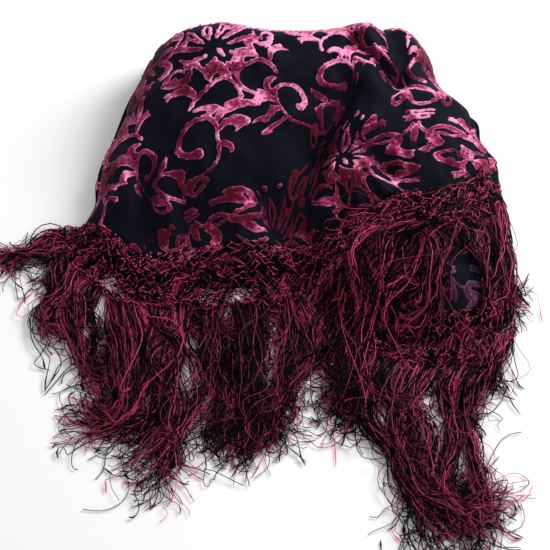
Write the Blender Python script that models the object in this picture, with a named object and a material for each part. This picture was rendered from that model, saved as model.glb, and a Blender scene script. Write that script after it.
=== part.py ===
"""Piano shawl dropped in a loose heap: burnt-out velvet panel, knotted net along the hem, long fringe.

Metres, +X to the viewer's right, +Y away from the viewer, +Z up. The heap rests on the plane Z = 0,
and the origin is the middle of its bounding box on that plane. The cut is a square with the net and
the fringe on its sides. It lies folded over itself: the hidden layers share one rounded solid whose
edges show as three rolled folds, and the layer that shows is a thin wall over them.
"""

from collections import namedtuple

import bpy
import numpy as np

# Driving dimensions of the cloth
CLOTH_WALL = 0.0022  # velvet on its chiffon ground
NET_WALL = 0.0016  # knotted net band
SEAM_GAP = 0.0003  # between pieces that touch
FLOOR_GAP = 0.0005  # under cloth that only brushes the surface
SHIFT_X, SHIFT_Y = 0.0172, 0.0127  # brings the middle of the bounding box to the origin

# Driving dimensions of the heap
HEAP_X, HEAP_Y = 0.030, 0.150  # the middle that the outline turns round
SIDE_FALL = 0.16  # share of the height lost at SIDE_REACH to either side
SIDE_REACH = 0.24
HIDDEN_LAYERS = 3  # rolled folds that show below the top layer
GROOVE_DEPTH = 0.0070  # between two rolled folds
FOOT_STEP = 0.0005  # least drop from ring to ring towards the foot
LAYER_WANDER = 0.0035  # how far one fold stands out past the next
GROOVE_FROM, GROOVE_OVER = 0.55, 0.35  # how sharply a fold turns into the groove beside it
TOP_GROOVE = 0.5  # half width of the groove under the top layer, in layers
ROLL_SHARE = 1.02  # of roll_z, the height at which the top layer ends

# Mesh fineness of the solids
AROUND = 76
PANEL_RINGS = 12
PANEL_CROWDING = 1.3  # over 1, the panel's rings lie closer together towards its edge
NET_ACROSS, PANEL_ACROSS = 5, 9  # rows of points across a net band and across the lower panel
LAYER_RINGS = [0.14, 0.34, 0.66, 0.86]  # rings of each rolled fold, as shares of its height

# Fineness of the search for where a piece rests
HALVINGS = 30  # of the way to the foot, to find a height on the heap's side
EDGE_PASSES = 2  # that smooth the top layer's edge
REST_PASSES = 3  # that smooth a band before it is lifted clear
REST_TESTS = 12  # tested places along each side of a band's triangle
REST_ROUNDS = 60
REST_EXACT = 0.00001
STRIP_TESTS = 9  # tested places along each step of a backing strip
LOCK_TESTS = 20  # tested places along each step of a lock
LOCK_COURSE = 48  # steps that a lock's curved course is drawn with
UPRIGHT_LEAST = 0.6  # of a band's normal, so that its wall stays thin on a steep side

Outline = namedtuple("Outline", "angle reach round_out fall layered roll_z")
# Foot of the heap, by angle round its middle. round_out and fall shape the way down to the foot:
# the larger they are, the steeper the side. layered is 1 where rolled folds show, and roll_z is the
# height at which the top layer rolls under.
OUTLINE = [
    Outline(0, 0.219, 4.2, 2.0, 1, 0.030),
    Outline(7, 0.205, 4.2, 2.0, 1, 0.034),
    Outline(15, 0.207, 4.4, 2.0, 1, 0.036),
    Outline(23, 0.190, 4.2, 2.0, 1, 0.036),
    Outline(31, 0.187, 4.4, 2.0, 1, 0.038),
    Outline(38, 0.197, 4.6, 2.1, 1, 0.038),
    Outline(51, 0.204, 4.8, 2.2, 1, 0.040),
    Outline(66, 0.178, 4.6, 2.1, 1, 0.040),
    Outline(90, 0.158, 4.4, 2.0, 1, 0.040),
    Outline(112, 0.172, 4.6, 2.1, 1, 0.040),
    Outline(128, 0.210, 5.0, 2.3, 1, 0.040),
    Outline(138, 0.220, 5.0, 2.3, 1, 0.034),
    Outline(154, 0.215, 4.2, 2.0, 1, 0.026),
    Outline(174, 0.218, 3.6, 1.9, 0.9, 0.020),
    Outline(185, 0.234, 3.4, 1.8, 0.8, 0.018),
    Outline(192, 0.238, 3.6, 1.8, 0.5, 0.018),
    Outline(200, 0.264, 3.4, 1.8, 0, 0.018),
    Outline(209, 0.264, 3.0, 1.5, 0, 0.018),
    Outline(221, 0.238, 2.6, 1.3, 0, 0.018),
    Outline(236, 0.194, 2.6, 1.3, 0, 0.018),
    Outline(252, 0.166, 2.6, 1.3, 0, 0.018),
    Outline(272, 0.158, 2.6, 1.3, 0, 0.018),
    Outline(283, 0.182, 2.8, 1.4, 0, 0.018),
    Outline(291, 0.236, 3.2, 1.6, 0, 0.018),
    Outline(299, 0.266, 3.6, 1.7, 0, 0.018),
    Outline(307, 0.287, 3.8, 1.7, 0, 0.018),
    Outline(315, 0.300, 4.0, 1.7, 0, 0.018),
    Outline(323, 0.292, 4.2, 1.7, 0, 0.020),
    Outline(334, 0.258, 4.4, 1.9, 0.1, 0.024),
    Outline(346, 0.236, 4.4, 2.0, 0.4, 0.026),
    Outline(353, 0.224, 4.4, 2.0, 0.8, 0.026),
]

Crown = namedtuple("Crown", "y height")
# Height of the heap along its depth, before its sides fall away
CROWN = [
    Crown(-0.120, 0.034),
    Crown(-0.060, 0.044),
    Crown(0.000, 0.048),
    Crown(0.040, 0.053),
    Crown(0.090, 0.074),
    Crown(0.140, 0.094),
    Crown(0.200, 0.110),
    Crown(0.260, 0.117),
    Crown(0.340, 0.117),
]

Fold = namedtuple("Fold", "x0 y0 x1 y1 width0 width1 rise")
# Troughs (rise under 0) and ridges: a line in plan, its half width at both ends, its height
FOLDS = [
    Fold(0.084, 0.190, 0.052, 0.130, 0.012, 0.022, -0.016),  # deep trough, upper part
    Fold(0.050, 0.126, 0.018, 0.062, 0.022, 0.034, -0.019),  # deep trough, lower part
    Fold(0.118, 0.178, 0.082, 0.098, 0.016, 0.020, 0.012),  # ridge right of the trough
    Fold(0.128, 0.096, 0.100, 0.120, 0.012, 0.016, -0.009),  # short trough by the right hem
    Fold(0.135, 0.204, 0.128, 0.212, 0.013, 0.012, -0.014),  # pinched pit
    Fold(0.128, 0.222, 0.100, 0.262, 0.007, 0.009, 0.007),  # pleats gathered in the pit
    Fold(0.120, 0.222, 0.082, 0.250, 0.007, 0.009, -0.006),
    Fold(0.140, 0.226, 0.140, 0.268, 0.007, 0.009, -0.006),
    Fold(0.152, 0.222, 0.166, 0.256, 0.008, 0.010, 0.007),
    Fold(0.178, 0.190, 0.196, 0.130, 0.014, 0.018, 0.006),  # right shoulder
    Fold(-0.144, 0.112, -0.138, 0.034, 0.014, 0.016, -0.012),  # trough by the left hem
    Fold(-0.178, 0.122, -0.172, 0.050, 0.014, 0.018, 0.008),  # roll at the left edge
    Fold(-0.060, 0.120, -0.030, 0.040, 0.030, 0.034, 0.008),  # swell over the front
    Fold(-0.020, 0.086, 0.000, 0.042, 0.010, 0.012, -0.007),  # small folds by the front hem
    Fold(0.048, 0.064, 0.060, 0.036, 0.010, 0.012, 0.008),
    Fold(-0.100, 0.074, -0.094, 0.030, 0.010, 0.014, -0.006),
    Fold(-0.110, 0.260, -0.020, 0.262, 0.020, 0.030, 0.004),  # back fold
    Fold(0.092, 0.276, 0.104, 0.272, 0.014, 0.013, 0.010),  # knob on the back fold
    Fold(0.124, 0.296, 0.126, 0.250, 0.011, 0.012, -0.009),  # dip beside it
    Fold(0.150, 0.280, 0.160, 0.256, 0.015, 0.016, 0.006),
    Fold(0.190, 0.040, 0.215, -0.050, 0.030, 0.034, 0.010),  # swell under the right fringe
    Fold(0.150, 0.020, 0.140, -0.060, 0.014, 0.018, -0.007),
    Fold(0.238, 0.030, 0.250, -0.030, 0.014, 0.016, -0.005),
]

Station = namedtuple("Station", "inner_x inner_y outer_x outer_y")
# Each band of cloth lies between its inner and its outer edge, given in plan from left to right
FRONT_NET = [
    Station(-0.2057, 0.0658, -0.2380, 0.0700),
    Station(-0.1925, 0.0573, -0.2310, 0.0360),
    Station(-0.1730, 0.0435, -0.2060, 0.0040),
    Station(-0.1540, 0.0290, -0.1760, -0.0220),
    Station(-0.1265, 0.0246, -0.1350, -0.0340),
    Station(-0.0825, 0.0285, -0.0860, -0.0350),
    Station(-0.0275, 0.0317, -0.0300, -0.0320),
    Station(0.0165, 0.0317, 0.0180, -0.0280),
    Station(0.0550, 0.0343, 0.0560, -0.0150),
    Station(0.0825, 0.0461, 0.0850, 0.0090),
    Station(0.1010, 0.0560, 0.1030, 0.0270),
]
RIGHT_NET = [
    Station(0.1075, 0.0615, 0.1200, 0.0360),
    Station(0.1375, 0.0766, 0.1560, 0.0380),
    Station(0.1815, 0.0852, 0.1990, 0.0440),
    Station(0.2140, 0.0993, 0.2340, 0.0600),
    Station(0.2280, 0.1200, 0.2570, 0.0900),
]
LOWER_PANEL = [
    Station(0.1150, 0.0640, 0.1160, -0.0560),
    Station(0.1400, 0.0740, 0.1450, -0.0580),
    Station(0.1840, 0.0826, 0.1870, -0.0520),
    Station(0.2165, 0.0965, 0.2220, -0.0440),
    Station(0.2360, 0.1150, 0.2450, -0.0220),
]
LOWER_NET = [
    Station(0.1135, -0.0563, 0.1000, -0.0900),
    Station(0.1450, -0.0584, 0.1400, -0.1040),
    Station(0.1872, -0.0524, 0.1900, -0.1080),
    Station(0.2223, -0.0444, 0.2370, -0.0980),
    Station(0.2454, -0.0222, 0.2640, -0.0600),
]

# Locks of the fringe
LOCK_WIDTH = 0.0054
LOCK_HEIGHT = 0.0028
LOCK_RINGS = 6
LOCK_TIP = 0.30  # width left at the tip, as a share
LOCK_SHARE = 0.86  # of its length of strip that each lock grows from
ROOT_SHARE = 0.9  # of its root's width, the widest that a lock's first ring may be
STRIP_GAP = 0.0005  # between the net's edge and the strip
STRIP_DEPTH = 0.0040  # backing strip that the locks grow from
STRIP_HEIGHT = 0.0026
LOCK_GAP = 0.0006  # between a lock and what it lies on
GRID = 0.0010  # cell of the height map that locks are laid on
MAP_X, MAP_Y = -0.42, -0.48  # its low corner
MAP_COLUMNS, MAP_ROWS = 840, 900

Locks = namedtuple(
    "Locks", "count start stop root_in root_out tip_in tip_out long_in long_out turn_in turn_out"
)
# A run of locks along a strip: how many, from where to where (0 left, 1 right), the heading at the
# root and at the tip of its first and last lock (degrees in plan, 0 right, 270 to the viewer), their
# lengths, and the share of its length at which each has turned half way.
LEFT_FRINGE = [
    Locks(9, 0.00, 0.62, 176, 196, 206, 192, 0.066, 0.088, 0.5, 0.5),
    Locks(7, 0.66, 1.00, 206, 232, 300, 345, 0.130, 0.230, 0.6, 0.5),
]
FRONT_LEFT_FRINGE = [
    Locks(10, 0.00, 0.36, 276, 268, 168, 178, 0.200, 0.250, 0.60, 0.66),
    Locks(9, 0.40, 0.70, 268, 270, 212, 232, 0.265, 0.290, 0.66, 0.70),
    Locks(8, 0.72, 1.00, 268, 272, 280, 304, 0.262, 0.226, 0.70, 0.74),
]
FRONT_RIGHT_FRINGE = [
    Locks(8, 0.00, 0.34, 274, 268, 248, 240, 0.216, 0.196, 0.6, 0.5),
    Locks(8, 0.38, 0.70, 266, 272, 246, 256, 0.198, 0.206, 0.5, 0.5),
    Locks(6, 0.76, 1.00, 276, 282, 256, 262, 0.200, 0.206, 0.5, 0.5),
]
LOWER_FRINGE = [
    Locks(9, 0.00, 0.34, 246, 244, 326, 320, 0.262, 0.280, 0.44, 0.46),
    Locks(9, 0.36, 0.68, 240, 256, 326, 306, 0.272, 0.200, 0.48, 0.50),
    Locks(9, 0.70, 1.00, 262, 278, 230, 216, 0.108, 0.090, 0.5, 0.5),
]
RIGHT_FRINGE = [
    Locks(5, 0.00, 0.24, 234, 234, 296, 286, 0.080, 0.096, 0.5, 0.5),
    Locks(7, 0.28, 0.62, 232, 250, 280, 276, 0.100, 0.116, 0.5, 0.5),
    Locks(7, 0.68, 1.00, 280, 288, 262, 264, 0.120, 0.140, 0.5, 0.5),
]
TURN_SPREAD = 0.34  # share of its length over which a lock turns, to either side of the half way


def smooth_rows(at, knots, values, period=None):
    """Smooth curve through the rows of a table, read at any places."""
    at = np.asarray(at, float)
    knots, values = np.asarray(knots, float), np.asarray(values, float)
    if period:
        at = np.mod(at, period)
        knots = np.concatenate([knots[-2:] - period, knots, knots[:2] + period])
        values = np.concatenate([values[-2:], values, values[:2]])
    slopes = np.gradient(values, knots)
    k = np.clip(np.searchsorted(knots, at, side="right") - 1, 0, len(knots) - 2)
    step = knots[k + 1] - knots[k]
    u = np.clip((at - knots[k]) / step, 0, 1)
    return (
        values[k] * (1 + 2 * u) * (1 - u) ** 2
        + slopes[k] * step * u * (1 - u) ** 2
        + values[k + 1] * u**2 * (3 - 2 * u)
        + slopes[k + 1] * step * u**2 * (u - 1)
    )


def outline_at(angle_deg, column):
    """One column of the outline table at these angles."""
    return smooth_rows(
        angle_deg,
        [row.angle for row in OUTLINE],
        [getattr(row, column) for row in OUTLINE],
        period=360,
    )


def fold_height(x, y):
    """Height that the troughs and ridges add at a place in plan."""
    total = np.zeros(np.broadcast(x, y).shape)
    for f in FOLDS:
        along = np.array([f.x1 - f.x0, f.y1 - f.y0])
        u = np.clip(((x - f.x0) * along[0] + (y - f.y0) * along[1]) / (along @ along), 0, 1)
        away = np.hypot(x - f.x0 - u * along[0], y - f.y0 - u * along[1])
        total += f.rise * np.exp(-((away / (f.width0 + u * (f.width1 - f.width0))) ** 2))
    return total


def full_height(x, y):
    """Height of the heap before its sides fall to the foot."""
    crown = smooth_rows(y, [row.y for row in CROWN], [row.height for row in CROWN])
    return crown * (1 - SIDE_FALL * ((x - HEAP_X) / SIDE_REACH) ** 2) + fold_height(x, y)


def heap_height(x, y):
    """Outer surface of the heap over a place in plan, 0 past its foot."""
    dx, dy = x - HEAP_X, y - HEAP_Y
    angle = np.degrees(np.arctan2(dy, dx))
    share = np.hypot(dx, dy) / outline_at(angle, "reach")
    side = np.clip(1 - share ** outline_at(angle, "round_out"), 0, 1)
    return full_height(x, y) * side ** (1 / outline_at(angle, "fall"))


def heap_point(angle, share):
    """Point of the heap's outer surface, by angle and by share of the way to its foot."""
    reach = outline_at(angle, "reach") * share
    x = HEAP_X + reach * np.cos(np.radians(angle))
    y = HEAP_Y + reach * np.sin(np.radians(angle))
    z = heap_height(x, y)
    level = z / outline_at(angle, "roll_z") * HIDDEN_LAYERS
    groove = np.where(
        level < HIDDEN_LAYERS,
        np.clip((np.abs(np.cos(np.pi * level)) - GROOVE_FROM) / GROOVE_OVER, 0, 1),
        np.exp(-(((level - HIDDEN_LAYERS) / TOP_GROOVE) ** 2)),
    )
    layer = np.floor(np.minimum(level, HIDDEN_LAYERS))
    wander = np.sin(np.radians(angle) * (2 + layer) + 1.3 * layer) * (level < HIDDEN_LAYERS)
    out = outline_at(angle, "layered") * (LAYER_WANDER * wander * (1 - groove) - GROOVE_DEPTH * groove)
    x = x + out * np.cos(np.radians(angle))
    y = y + out * np.sin(np.radians(angle))
    return np.stack([x, y, z], -1)


def share_at_height(angle, z):
    """Share of the way to the foot at which the heap's side comes down to a height."""
    low, high = np.full(angle.shape, 0.3), np.ones(angle.shape)
    for _ in range(HALVINGS):
        middle = (low + high) / 2
        reach = outline_at(angle, "reach") * middle
        above = heap_height(
            HEAP_X + reach * np.cos(np.radians(angle)), HEAP_Y + reach * np.sin(np.radians(angle))
        ) > z
        low, high = np.where(above, middle, low), np.where(above, high, middle)
    return (low + high) / 2


def hem_share(angle):
    """Share of the way to the foot at which the top layer's sewn hem lies, and whether it has one there."""
    rows = [(s.inner_x, s.inner_y) for s in FRONT_NET + RIGHT_NET]
    hem_angle = [np.degrees(np.arctan2(y - HEAP_Y, x - HEAP_X)) % 360 for x, y in rows]
    hem_reach = [np.hypot(x - HEAP_X, y - HEAP_Y) - SEAM_GAP for x, y in rows]
    sewn = (angle >= hem_angle[0]) & (angle <= hem_angle[-1])
    return smooth_rows(angle, hem_angle, hem_reach) / outline_at(angle, "reach"), sewn


def panel_edge(angle):
    """Share of the way to the foot at which the top layer ends, at its hem or where it rolls under."""
    rolled = share_at_height(angle, outline_at(angle, "roll_z") * ROLL_SHARE)
    hem, sewn = hem_share(angle)
    edge = np.where(sewn, hem, rolled)
    for _ in range(EDGE_PASSES):
        edge = (np.roll(edge, 1) + 2 * edge + np.roll(edge, -1)) / 4
    return np.where(sewn, np.minimum(edge, hem), edge)


def grid_normals(points, closed):
    """Unit normals of a grid of points, the second way round closed on itself if closed."""
    across = np.gradient(points, axis=0)
    if closed:
        along = np.roll(points, -1, axis=1) - np.roll(points, 1, axis=1)
    else:
        along = np.gradient(points, axis=1)
    normal = np.cross(across, along)
    return normal / np.maximum(np.linalg.norm(normal, axis=-1, keepdims=True), 1e-12)


def make_material(name, colour, roughness):
    """Plain finish of one kind of piece."""
    material = bpy.data.materials.new(name)
    material.use_nodes = True
    shader = material.node_tree.nodes["Principled BSDF"]
    shader.inputs["Base Color"].default_value = (*colour, 1.0)
    shader.inputs["Roughness"].default_value = roughness
    shader.inputs["Metallic"].default_value = 0.0
    return material


def add_piece(name, points, faces, material):
    """One named object from points and faces, shaded smooth."""
    mesh = bpy.data.meshes.new(name)
    mesh.from_pydata([(float(x) + SHIFT_X, float(y) + SHIFT_Y, float(z)) for x, y, z in points], [], faces)
    mesh.materials.append(material)
    mesh.shade_smooth()
    mesh.update()
    piece = bpy.data.objects.new(name, mesh)
    bpy.context.scene.collection.objects.link(piece)
    return piece


def ring_faces(first, second, count, flip=False):
    """Triangles between two closed rings that start at these point numbers."""
    faces = []
    for i in range(count):
        j = (i + 1) % count
        faces.append((first + i, second + i, second + j))
        faces.append((first + i, second + j, first + j))
    return [face[::-1] for face in faces] if flip else faces


def cap_faces(centre, ring, count, flip=False):
    """Triangles from a middle point to a closed ring."""
    triangles = [(centre, ring + i, ring + (i + 1) % count) for i in range(count)]
    return [t[::-1] for t in triangles] if flip else triangles


def crowded_shares(count):
    """Ring places from just past the middle to 1, closer together towards the edge."""
    u = np.arange(1, count + 1) / count
    return 1 - (1 - u) ** PANEL_CROWDING


def panel_rings():
    """Rings of the top layer's outer surface and the way out of it at each point."""
    angle = np.arange(AROUND) * 360 / AROUND
    edge = panel_edge(angle)
    rings = np.stack([heap_point(angle, edge * share) for share in crowded_shares(PANEL_RINGS)])
    return angle, edge, rings, grid_normals(rings, closed=True)


def top_panel(material):
    """The layer that shows: a wall over the heap, open at its hem and rolled under elsewhere."""
    _, _, rings, normal = panel_rings()
    inner = rings - CLOTH_WALL * normal
    middle = heap_point(np.array([0.0]), np.array([0.0]))[0]
    points = [middle, *rings.reshape(-1, 3), middle - [0, 0, CLOTH_WALL], *inner.reshape(-1, 3)]
    under = 1 + PANEL_RINGS * AROUND
    faces = cap_faces(0, 1, AROUND) + cap_faces(under, under + 1, AROUND, flip=True)
    for k in range(PANEL_RINGS - 1):
        faces += ring_faces(1 + k * AROUND, 1 + (k + 1) * AROUND, AROUND)
        faces += ring_faces(under + 1 + k * AROUND, under + 1 + (k + 1) * AROUND, AROUND, flip=True)
    last = (PANEL_RINGS - 1) * AROUND
    faces += ring_faces(1 + last, under + 1 + last, AROUND)
    add_piece("top_panel", points, faces, material)
    return np.array(points), faces, rings[-1, :, :2]


def folded_layers(material):
    """The hidden layers: one rounded solid, flat underneath, with rolled folds at its edges.

    Its upper rings are the top layer's own, moved in, so that the two lie an even gap apart.
    """
    angle, edge, rings, normal = panel_rings()
    buried = CLOTH_WALL + SEAM_GAP
    upper = rings - buried * normal
    round_out, fall = outline_at(angle, "round_out"), outline_at(angle, "fall")
    edge_level = (1 - edge**round_out) ** (1 / fall)
    lower = []
    for layer in range(HIDDEN_LAYERS):
        for share in LAYER_RINGS:
            level = edge_level * (1 - (layer + share) / HIDDEN_LAYERS)
            lower.append(heap_point(angle, (1 - level**fall) ** (1 / round_out)))
    lower.append(heap_point(angle, np.ones(AROUND)))
    lower = np.stack(lower)
    sink = buried * (1 - outline_at(angle, "layered"))[None, :]
    lower = lower - sink[..., None] * grid_normals(lower, closed=True)
    least = FOOT_STEP * np.arange(len(lower) - 1, -1, -1)
    lower[..., 2] = np.maximum(lower[..., 2], least[:, None])
    lower[-1, :, 2] = 0.0
    rings = np.concatenate([upper, lower])
    middle = heap_point(np.array([0.0]), np.array([0.0]))[0] - [0, 0, buried]
    points = [middle, *rings.reshape(-1, 3), (HEAP_X, HEAP_Y, 0.0)]
    count = len(rings)
    faces = cap_faces(0, 1, AROUND)
    for k in range(count - 1):
        faces += ring_faces(1 + k * AROUND, 1 + (k + 1) * AROUND, AROUND)
    faces += cap_faces(1 + count * AROUND, 1 + (count - 1) * AROUND, AROUND, flip=True)
    add_piece("folded_layers", points, faces, material)
    return np.array(points), faces


class Edge:
    """A line in plan through the points of a piece's edge, read by share of its length."""

    def __init__(self, line):
        self.line = np.asarray(line, float)
        steps = np.linalg.norm(np.diff(self.line, axis=0), axis=1)
        self.length = np.concatenate([[0], np.cumsum(steps)])

    def at(self, share, beyond=0.0):
        """Place on the line, moved out to the right of its course, and the way out there."""
        place = np.interp(share, self.length / self.length[-1], np.arange(len(self.line)))
        return self.at_point(place, beyond)

    def at_point(self, place, beyond=0.0):
        """The same by point number, which may lie between two points."""
        k = np.clip(np.floor(place).astype(int), 0, len(self.line) - 2)
        u = (place - k)[:, None]
        plan = self.line[k] + u * (self.line[k + 1] - self.line[k])
        ahead = np.clip(place + 0.5, 0, len(self.line) - 1)
        behind = np.clip(place - 0.5, 0, len(self.line) - 1)
        numbers = np.arange(len(self.line))
        tangent = np.stack(
            [np.interp(ahead, numbers, c) - np.interp(behind, numbers, c) for c in self.line.T], -1
        )
        out = np.stack([tangent[:, 1], -tangent[:, 0]], -1)
        out /= np.linalg.norm(out, axis=1, keepdims=True)
        return plan + beyond * out, out


def hem_columns(stations, hem, per_step):
    """Columns of a band along the top layer's hem: their places on it and in the band's table."""
    rows = [(row.inner_x, row.inner_y) for row in stations]
    angles = [np.degrees(np.arctan2(y - HEAP_Y, x - HEAP_X)) % 360 for x, y in rows]
    first, last = (round(angles[end] * AROUND / 360) * per_step for end in (0, -1))
    steps = np.arange(first, last + 1) / per_step
    line = np.vstack([hem, hem[:1]])
    numbers = np.arange(len(line))
    plan = np.stack([np.interp(steps, numbers, column) for column in line.T], -1)
    table_place = np.interp(steps * 360 / AROUND, angles, np.linspace(0, 1, len(stations)))
    return plan, table_place


def band_plan(inner, stations, table_place, across):
    """Grid of plan places from a line of inner points to the outer edge in a band's table."""
    knots = np.linspace(0, 1, len(stations))
    outer = np.stack(
        [smooth_rows(table_place, knots, [getattr(row, name) for row in stations])
         for name in ("outer_x", "outer_y")], -1,
    )
    start, _ = Edge(inner).at_point(np.arange(len(inner)), SEAM_GAP)
    return start + np.linspace(0, 1, across)[:, None, None] * (outer - start)


def triangles_of(faces):
    """Faces cut into triangles from their first corner."""
    return [(f[0], f[k], f[k + 1]) for f in faces for k in range(1, len(f) - 1)]


class HeightMap:
    """Top of everything laid so far, over a grid in plan, so that each piece rests on what is under it."""

    def __init__(self):
        self.z = np.full((MAP_COLUMNS, MAP_ROWS), FLOOR_GAP)

    def cells(self, plan):
        """Grid numbers of places in plan."""
        i = np.clip(np.round((plan[..., 0] - MAP_X) / GRID).astype(int), 0, MAP_COLUMNS - 1)
        j = np.clip(np.round((plan[..., 1] - MAP_Y) / GRID).astype(int), 0, MAP_ROWS - 1)
        return i, j

    def read(self, plan):
        """Height over places in plan."""
        return self.z[self.cells(plan)]

    def window(self, x, y, reach):
        """Cells within a reach of a place, as two slices."""
        i, j = int(round((x - MAP_X) / GRID)), int(round((y - MAP_Y) / GRID))
        n = int(np.ceil(reach / GRID))
        return slice(max(i - n, 0), i + n + 1), slice(max(j - n, 0), j + n + 1)

    def top(self, x, y, reach):
        """Highest cell near a place."""
        return self.z[self.window(x, y, reach)].max()

    def raise_to(self, x, y, reach, z):
        """Lift the cells near a place to a height."""
        cells = self.window(x, y, reach)
        self.z[cells] = np.maximum(self.z[cells], z)

    def cover(self, points, faces):
        """Lay a piece on the map, each cell at the highest that the piece stands in it."""
        for corners in triangles_of(faces):
            a, b, c = (np.asarray(points[v]) for v in corners)
            normal = np.cross(b - a, c - a)
            if abs(normal[2]) < 1e-12:
                continue
            low = np.minimum(np.minimum(a, b), c)[:2] - GRID
            high = np.maximum(np.maximum(a, b), c)[:2] + GRID
            (i0, i1), (j0, j1) = (self.cells(np.stack([low, high]))[k] for k in (0, 1))
            x = MAP_X + GRID * np.arange(i0, i1 + 1)[:, None]
            y = MAP_Y + GRID * np.arange(j0, j1 + 1)[None, :]
            inside = np.ones((i1 - i0 + 1, j1 - j0 + 1), bool)
            turn = np.sign(normal[2])
            for p, q in ((a, b), (b, c), (c, a)):
                side = ((q[0] - p[0]) * (y - p[1]) - (q[1] - p[1]) * (x - p[0])) * turn
                inside &= side > -GRID * 0.72 * np.hypot(q[0] - p[0], q[1] - p[1])
            slope = np.abs(normal[:2] / normal[2])
            z = a[2] - (normal[0] * (x - a[0]) + normal[1] * (y - a[1])) / normal[2]
            z = np.minimum(z + slope.sum() * GRID / 2, max(a[2], b[2], c[2]))
            part = self.z[i0 : i1 + 1, j0 : j1 + 1]
            part[inside] = np.maximum(part, z)[inside]


def rest_on(plan, heights, gap):
    """Lower points of a sheet at these places in plan, a gap above the map everywhere."""
    across, along = plan.shape[:2]
    z = heights.read(plan) + gap
    for _ in range(REST_PASSES):
        z[1:-1, 1:-1] = (z[:-2, 1:-1] + z[2:, 1:-1] + z[1:-1, :-2] + z[1:-1, 2:]) / 4
    n = REST_TESTS
    weights = [(i / n, j / n, 1 - (i + j) / n) for i in range(n + 1) for j in range(n + 1 - i)]
    corner_sets = [((0, 0), (1, 0), (1, 1)), ((0, 0), (1, 1), (0, 1))]
    for _ in range(REST_ROUNDS):
        lift = np.zeros_like(z)
        for corners in corner_sets:
            cut = [np.s_[r : across - 1 + r, c : along - 1 + c] for r, c in corners]
            for w in weights:
                spot = sum(w[m] * plan[cut[m]] for m in range(3))
                height = sum(w[m] * z[cut[m]] for m in range(3))
                short = np.maximum(heights.read(spot) + gap - height, 0)
                square = sum(v * v for v in w)
                for m in range(3):
                    lift[cut[m]] = np.maximum(lift[cut[m]], short * w[m] / square)
        if lift.max() < REST_EXACT:
            break
        z += lift
    return np.concatenate([plan, z[..., None]], -1)


def band(name, plan, heights, wall, material):
    """A strip of cloth or net that lies over the heap and the floor."""
    lower = rest_on(plan, heights, SEAM_GAP)
    across, along = plan.shape[:2]
    upper = lower.copy()
    upper[..., 2] += wall / np.maximum(grid_normals(lower, closed=False)[..., 2], UPRIGHT_LEAST)
    points = [*upper.reshape(-1, 3), *lower.reshape(-1, 3)]
    under = across * along
    faces = []
    for k in range(across - 1):
        for i in range(along - 1):
            a = k * along + i
            for corners in ((a, a + along, a + along + 1), (a, a + along + 1, a + 1)):
                faces.append(corners)
                faces.append(tuple(under + v for v in corners[::-1]))
    rim = [*range(along)]
    rim += [k * along + along - 1 for k in range(1, across)]
    rim += [(across - 1) * along + i for i in range(along - 2, -1, -1)]
    rim += [k * along for k in range(across - 2, 0, -1)]
    for i, a in enumerate(rim):
        b = rim[(i + 1) % len(rim)]
        faces.append((a, b, under + b, under + a))
    add_piece(name, points, faces, material)
    return points, faces


def lock_plan(root, heading_root, heading_tip, length, turn):
    """Ring places of one lock in plan, from its root outwards."""
    u = (np.arange(LOCK_COURSE) + 0.5) / LOCK_COURSE
    turned = np.clip((u - turn + TURN_SPREAD) / (2 * TURN_SPREAD), 0, 1)
    heading = np.radians(heading_root + (heading_tip - heading_root) * turned**2 * (3 - 2 * turned))
    steps = np.stack([np.cos(heading), np.sin(heading)], -1) * length / LOCK_COURSE
    line = np.vstack([[0, 0], np.cumsum(steps, axis=0)]) + root
    return line[np.round(np.linspace(0, LOCK_COURSE, LOCK_RINGS + 1)).astype(int)]


def lay_lock(plan, width, height, start_z, heights):
    """Middle line of a lock that starts at its strip and rests on what is laid below it."""
    need = np.zeros(len(plan))
    for k in range(1, len(plan)):
        for share in np.linspace(0, 1, LOCK_TESTS):
            if k == 1 and share < 0.5:  # near the strip, whose own height holds
                continue
            p = plan[k - 1] + share * (plan[k] - plan[k - 1])
            wide = width[k - 1] + share * (width[k] - width[k - 1])
            z = heights.top(p[0], p[1], wide / 2) + height[k - 1] / 2 + LOCK_GAP
            need[k - 1] = max(need[k - 1], z)
            need[k] = max(need[k], z)
    z = need.copy()
    z[0] = start_z
    for k in range(1, len(plan)):
        for share in np.linspace(0, 1, 2 * LOCK_TESTS):
            p = plan[k - 1] + share * (plan[k] - plan[k - 1])
            wide = width[k - 1] + share * (width[k] - width[k - 1])
            top = z[k - 1] + share * (z[k] - z[k - 1]) + height[k - 1] / 2
            heights.raise_to(p[0], p[1], wide / 2, top)
    return np.column_stack([plan, z])


def fringe_strip(edge, part_of_edge, runs, heights):
    """Backing strip past a net's edge: where each lock starts and stops, and the strip's corners."""
    first, last = part_of_edge
    places = []
    for run in runs:
        pitch = (run.stop - run.start) / run.count
        for k in range(run.count):
            start = run.start + k * pitch
            mix = k / max(run.count - 1, 1)
            places.append((start, start + LOCK_SHARE * pitch, run, mix))
    cuts = sorted({cut for start, stop, _, _ in places for cut in (start, stop)})
    share = first + (last - first) * np.array(cuts)
    plan_in, out = edge.at(share, STRIP_GAP)
    plan_out = plan_in + STRIP_DEPTH * out
    low = np.zeros(len(cuts))
    for i in range(len(cuts) - 1):
        for u in np.linspace(0, 1, STRIP_TESTS):
            for side in (plan_in, plan_out, (plan_in + plan_out) / 2):
                p = side[i] + u * (side[i + 1] - side[i])
                z = heights.top(p[0], p[1], GRID / 2) + SEAM_GAP
                low[i : i + 2] = np.maximum(low[i : i + 2], z)
    starts = {cuts.index(start): (run, mix) for start, _, run, mix in places}
    return plan_in, plan_out, out, low, starts


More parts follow.
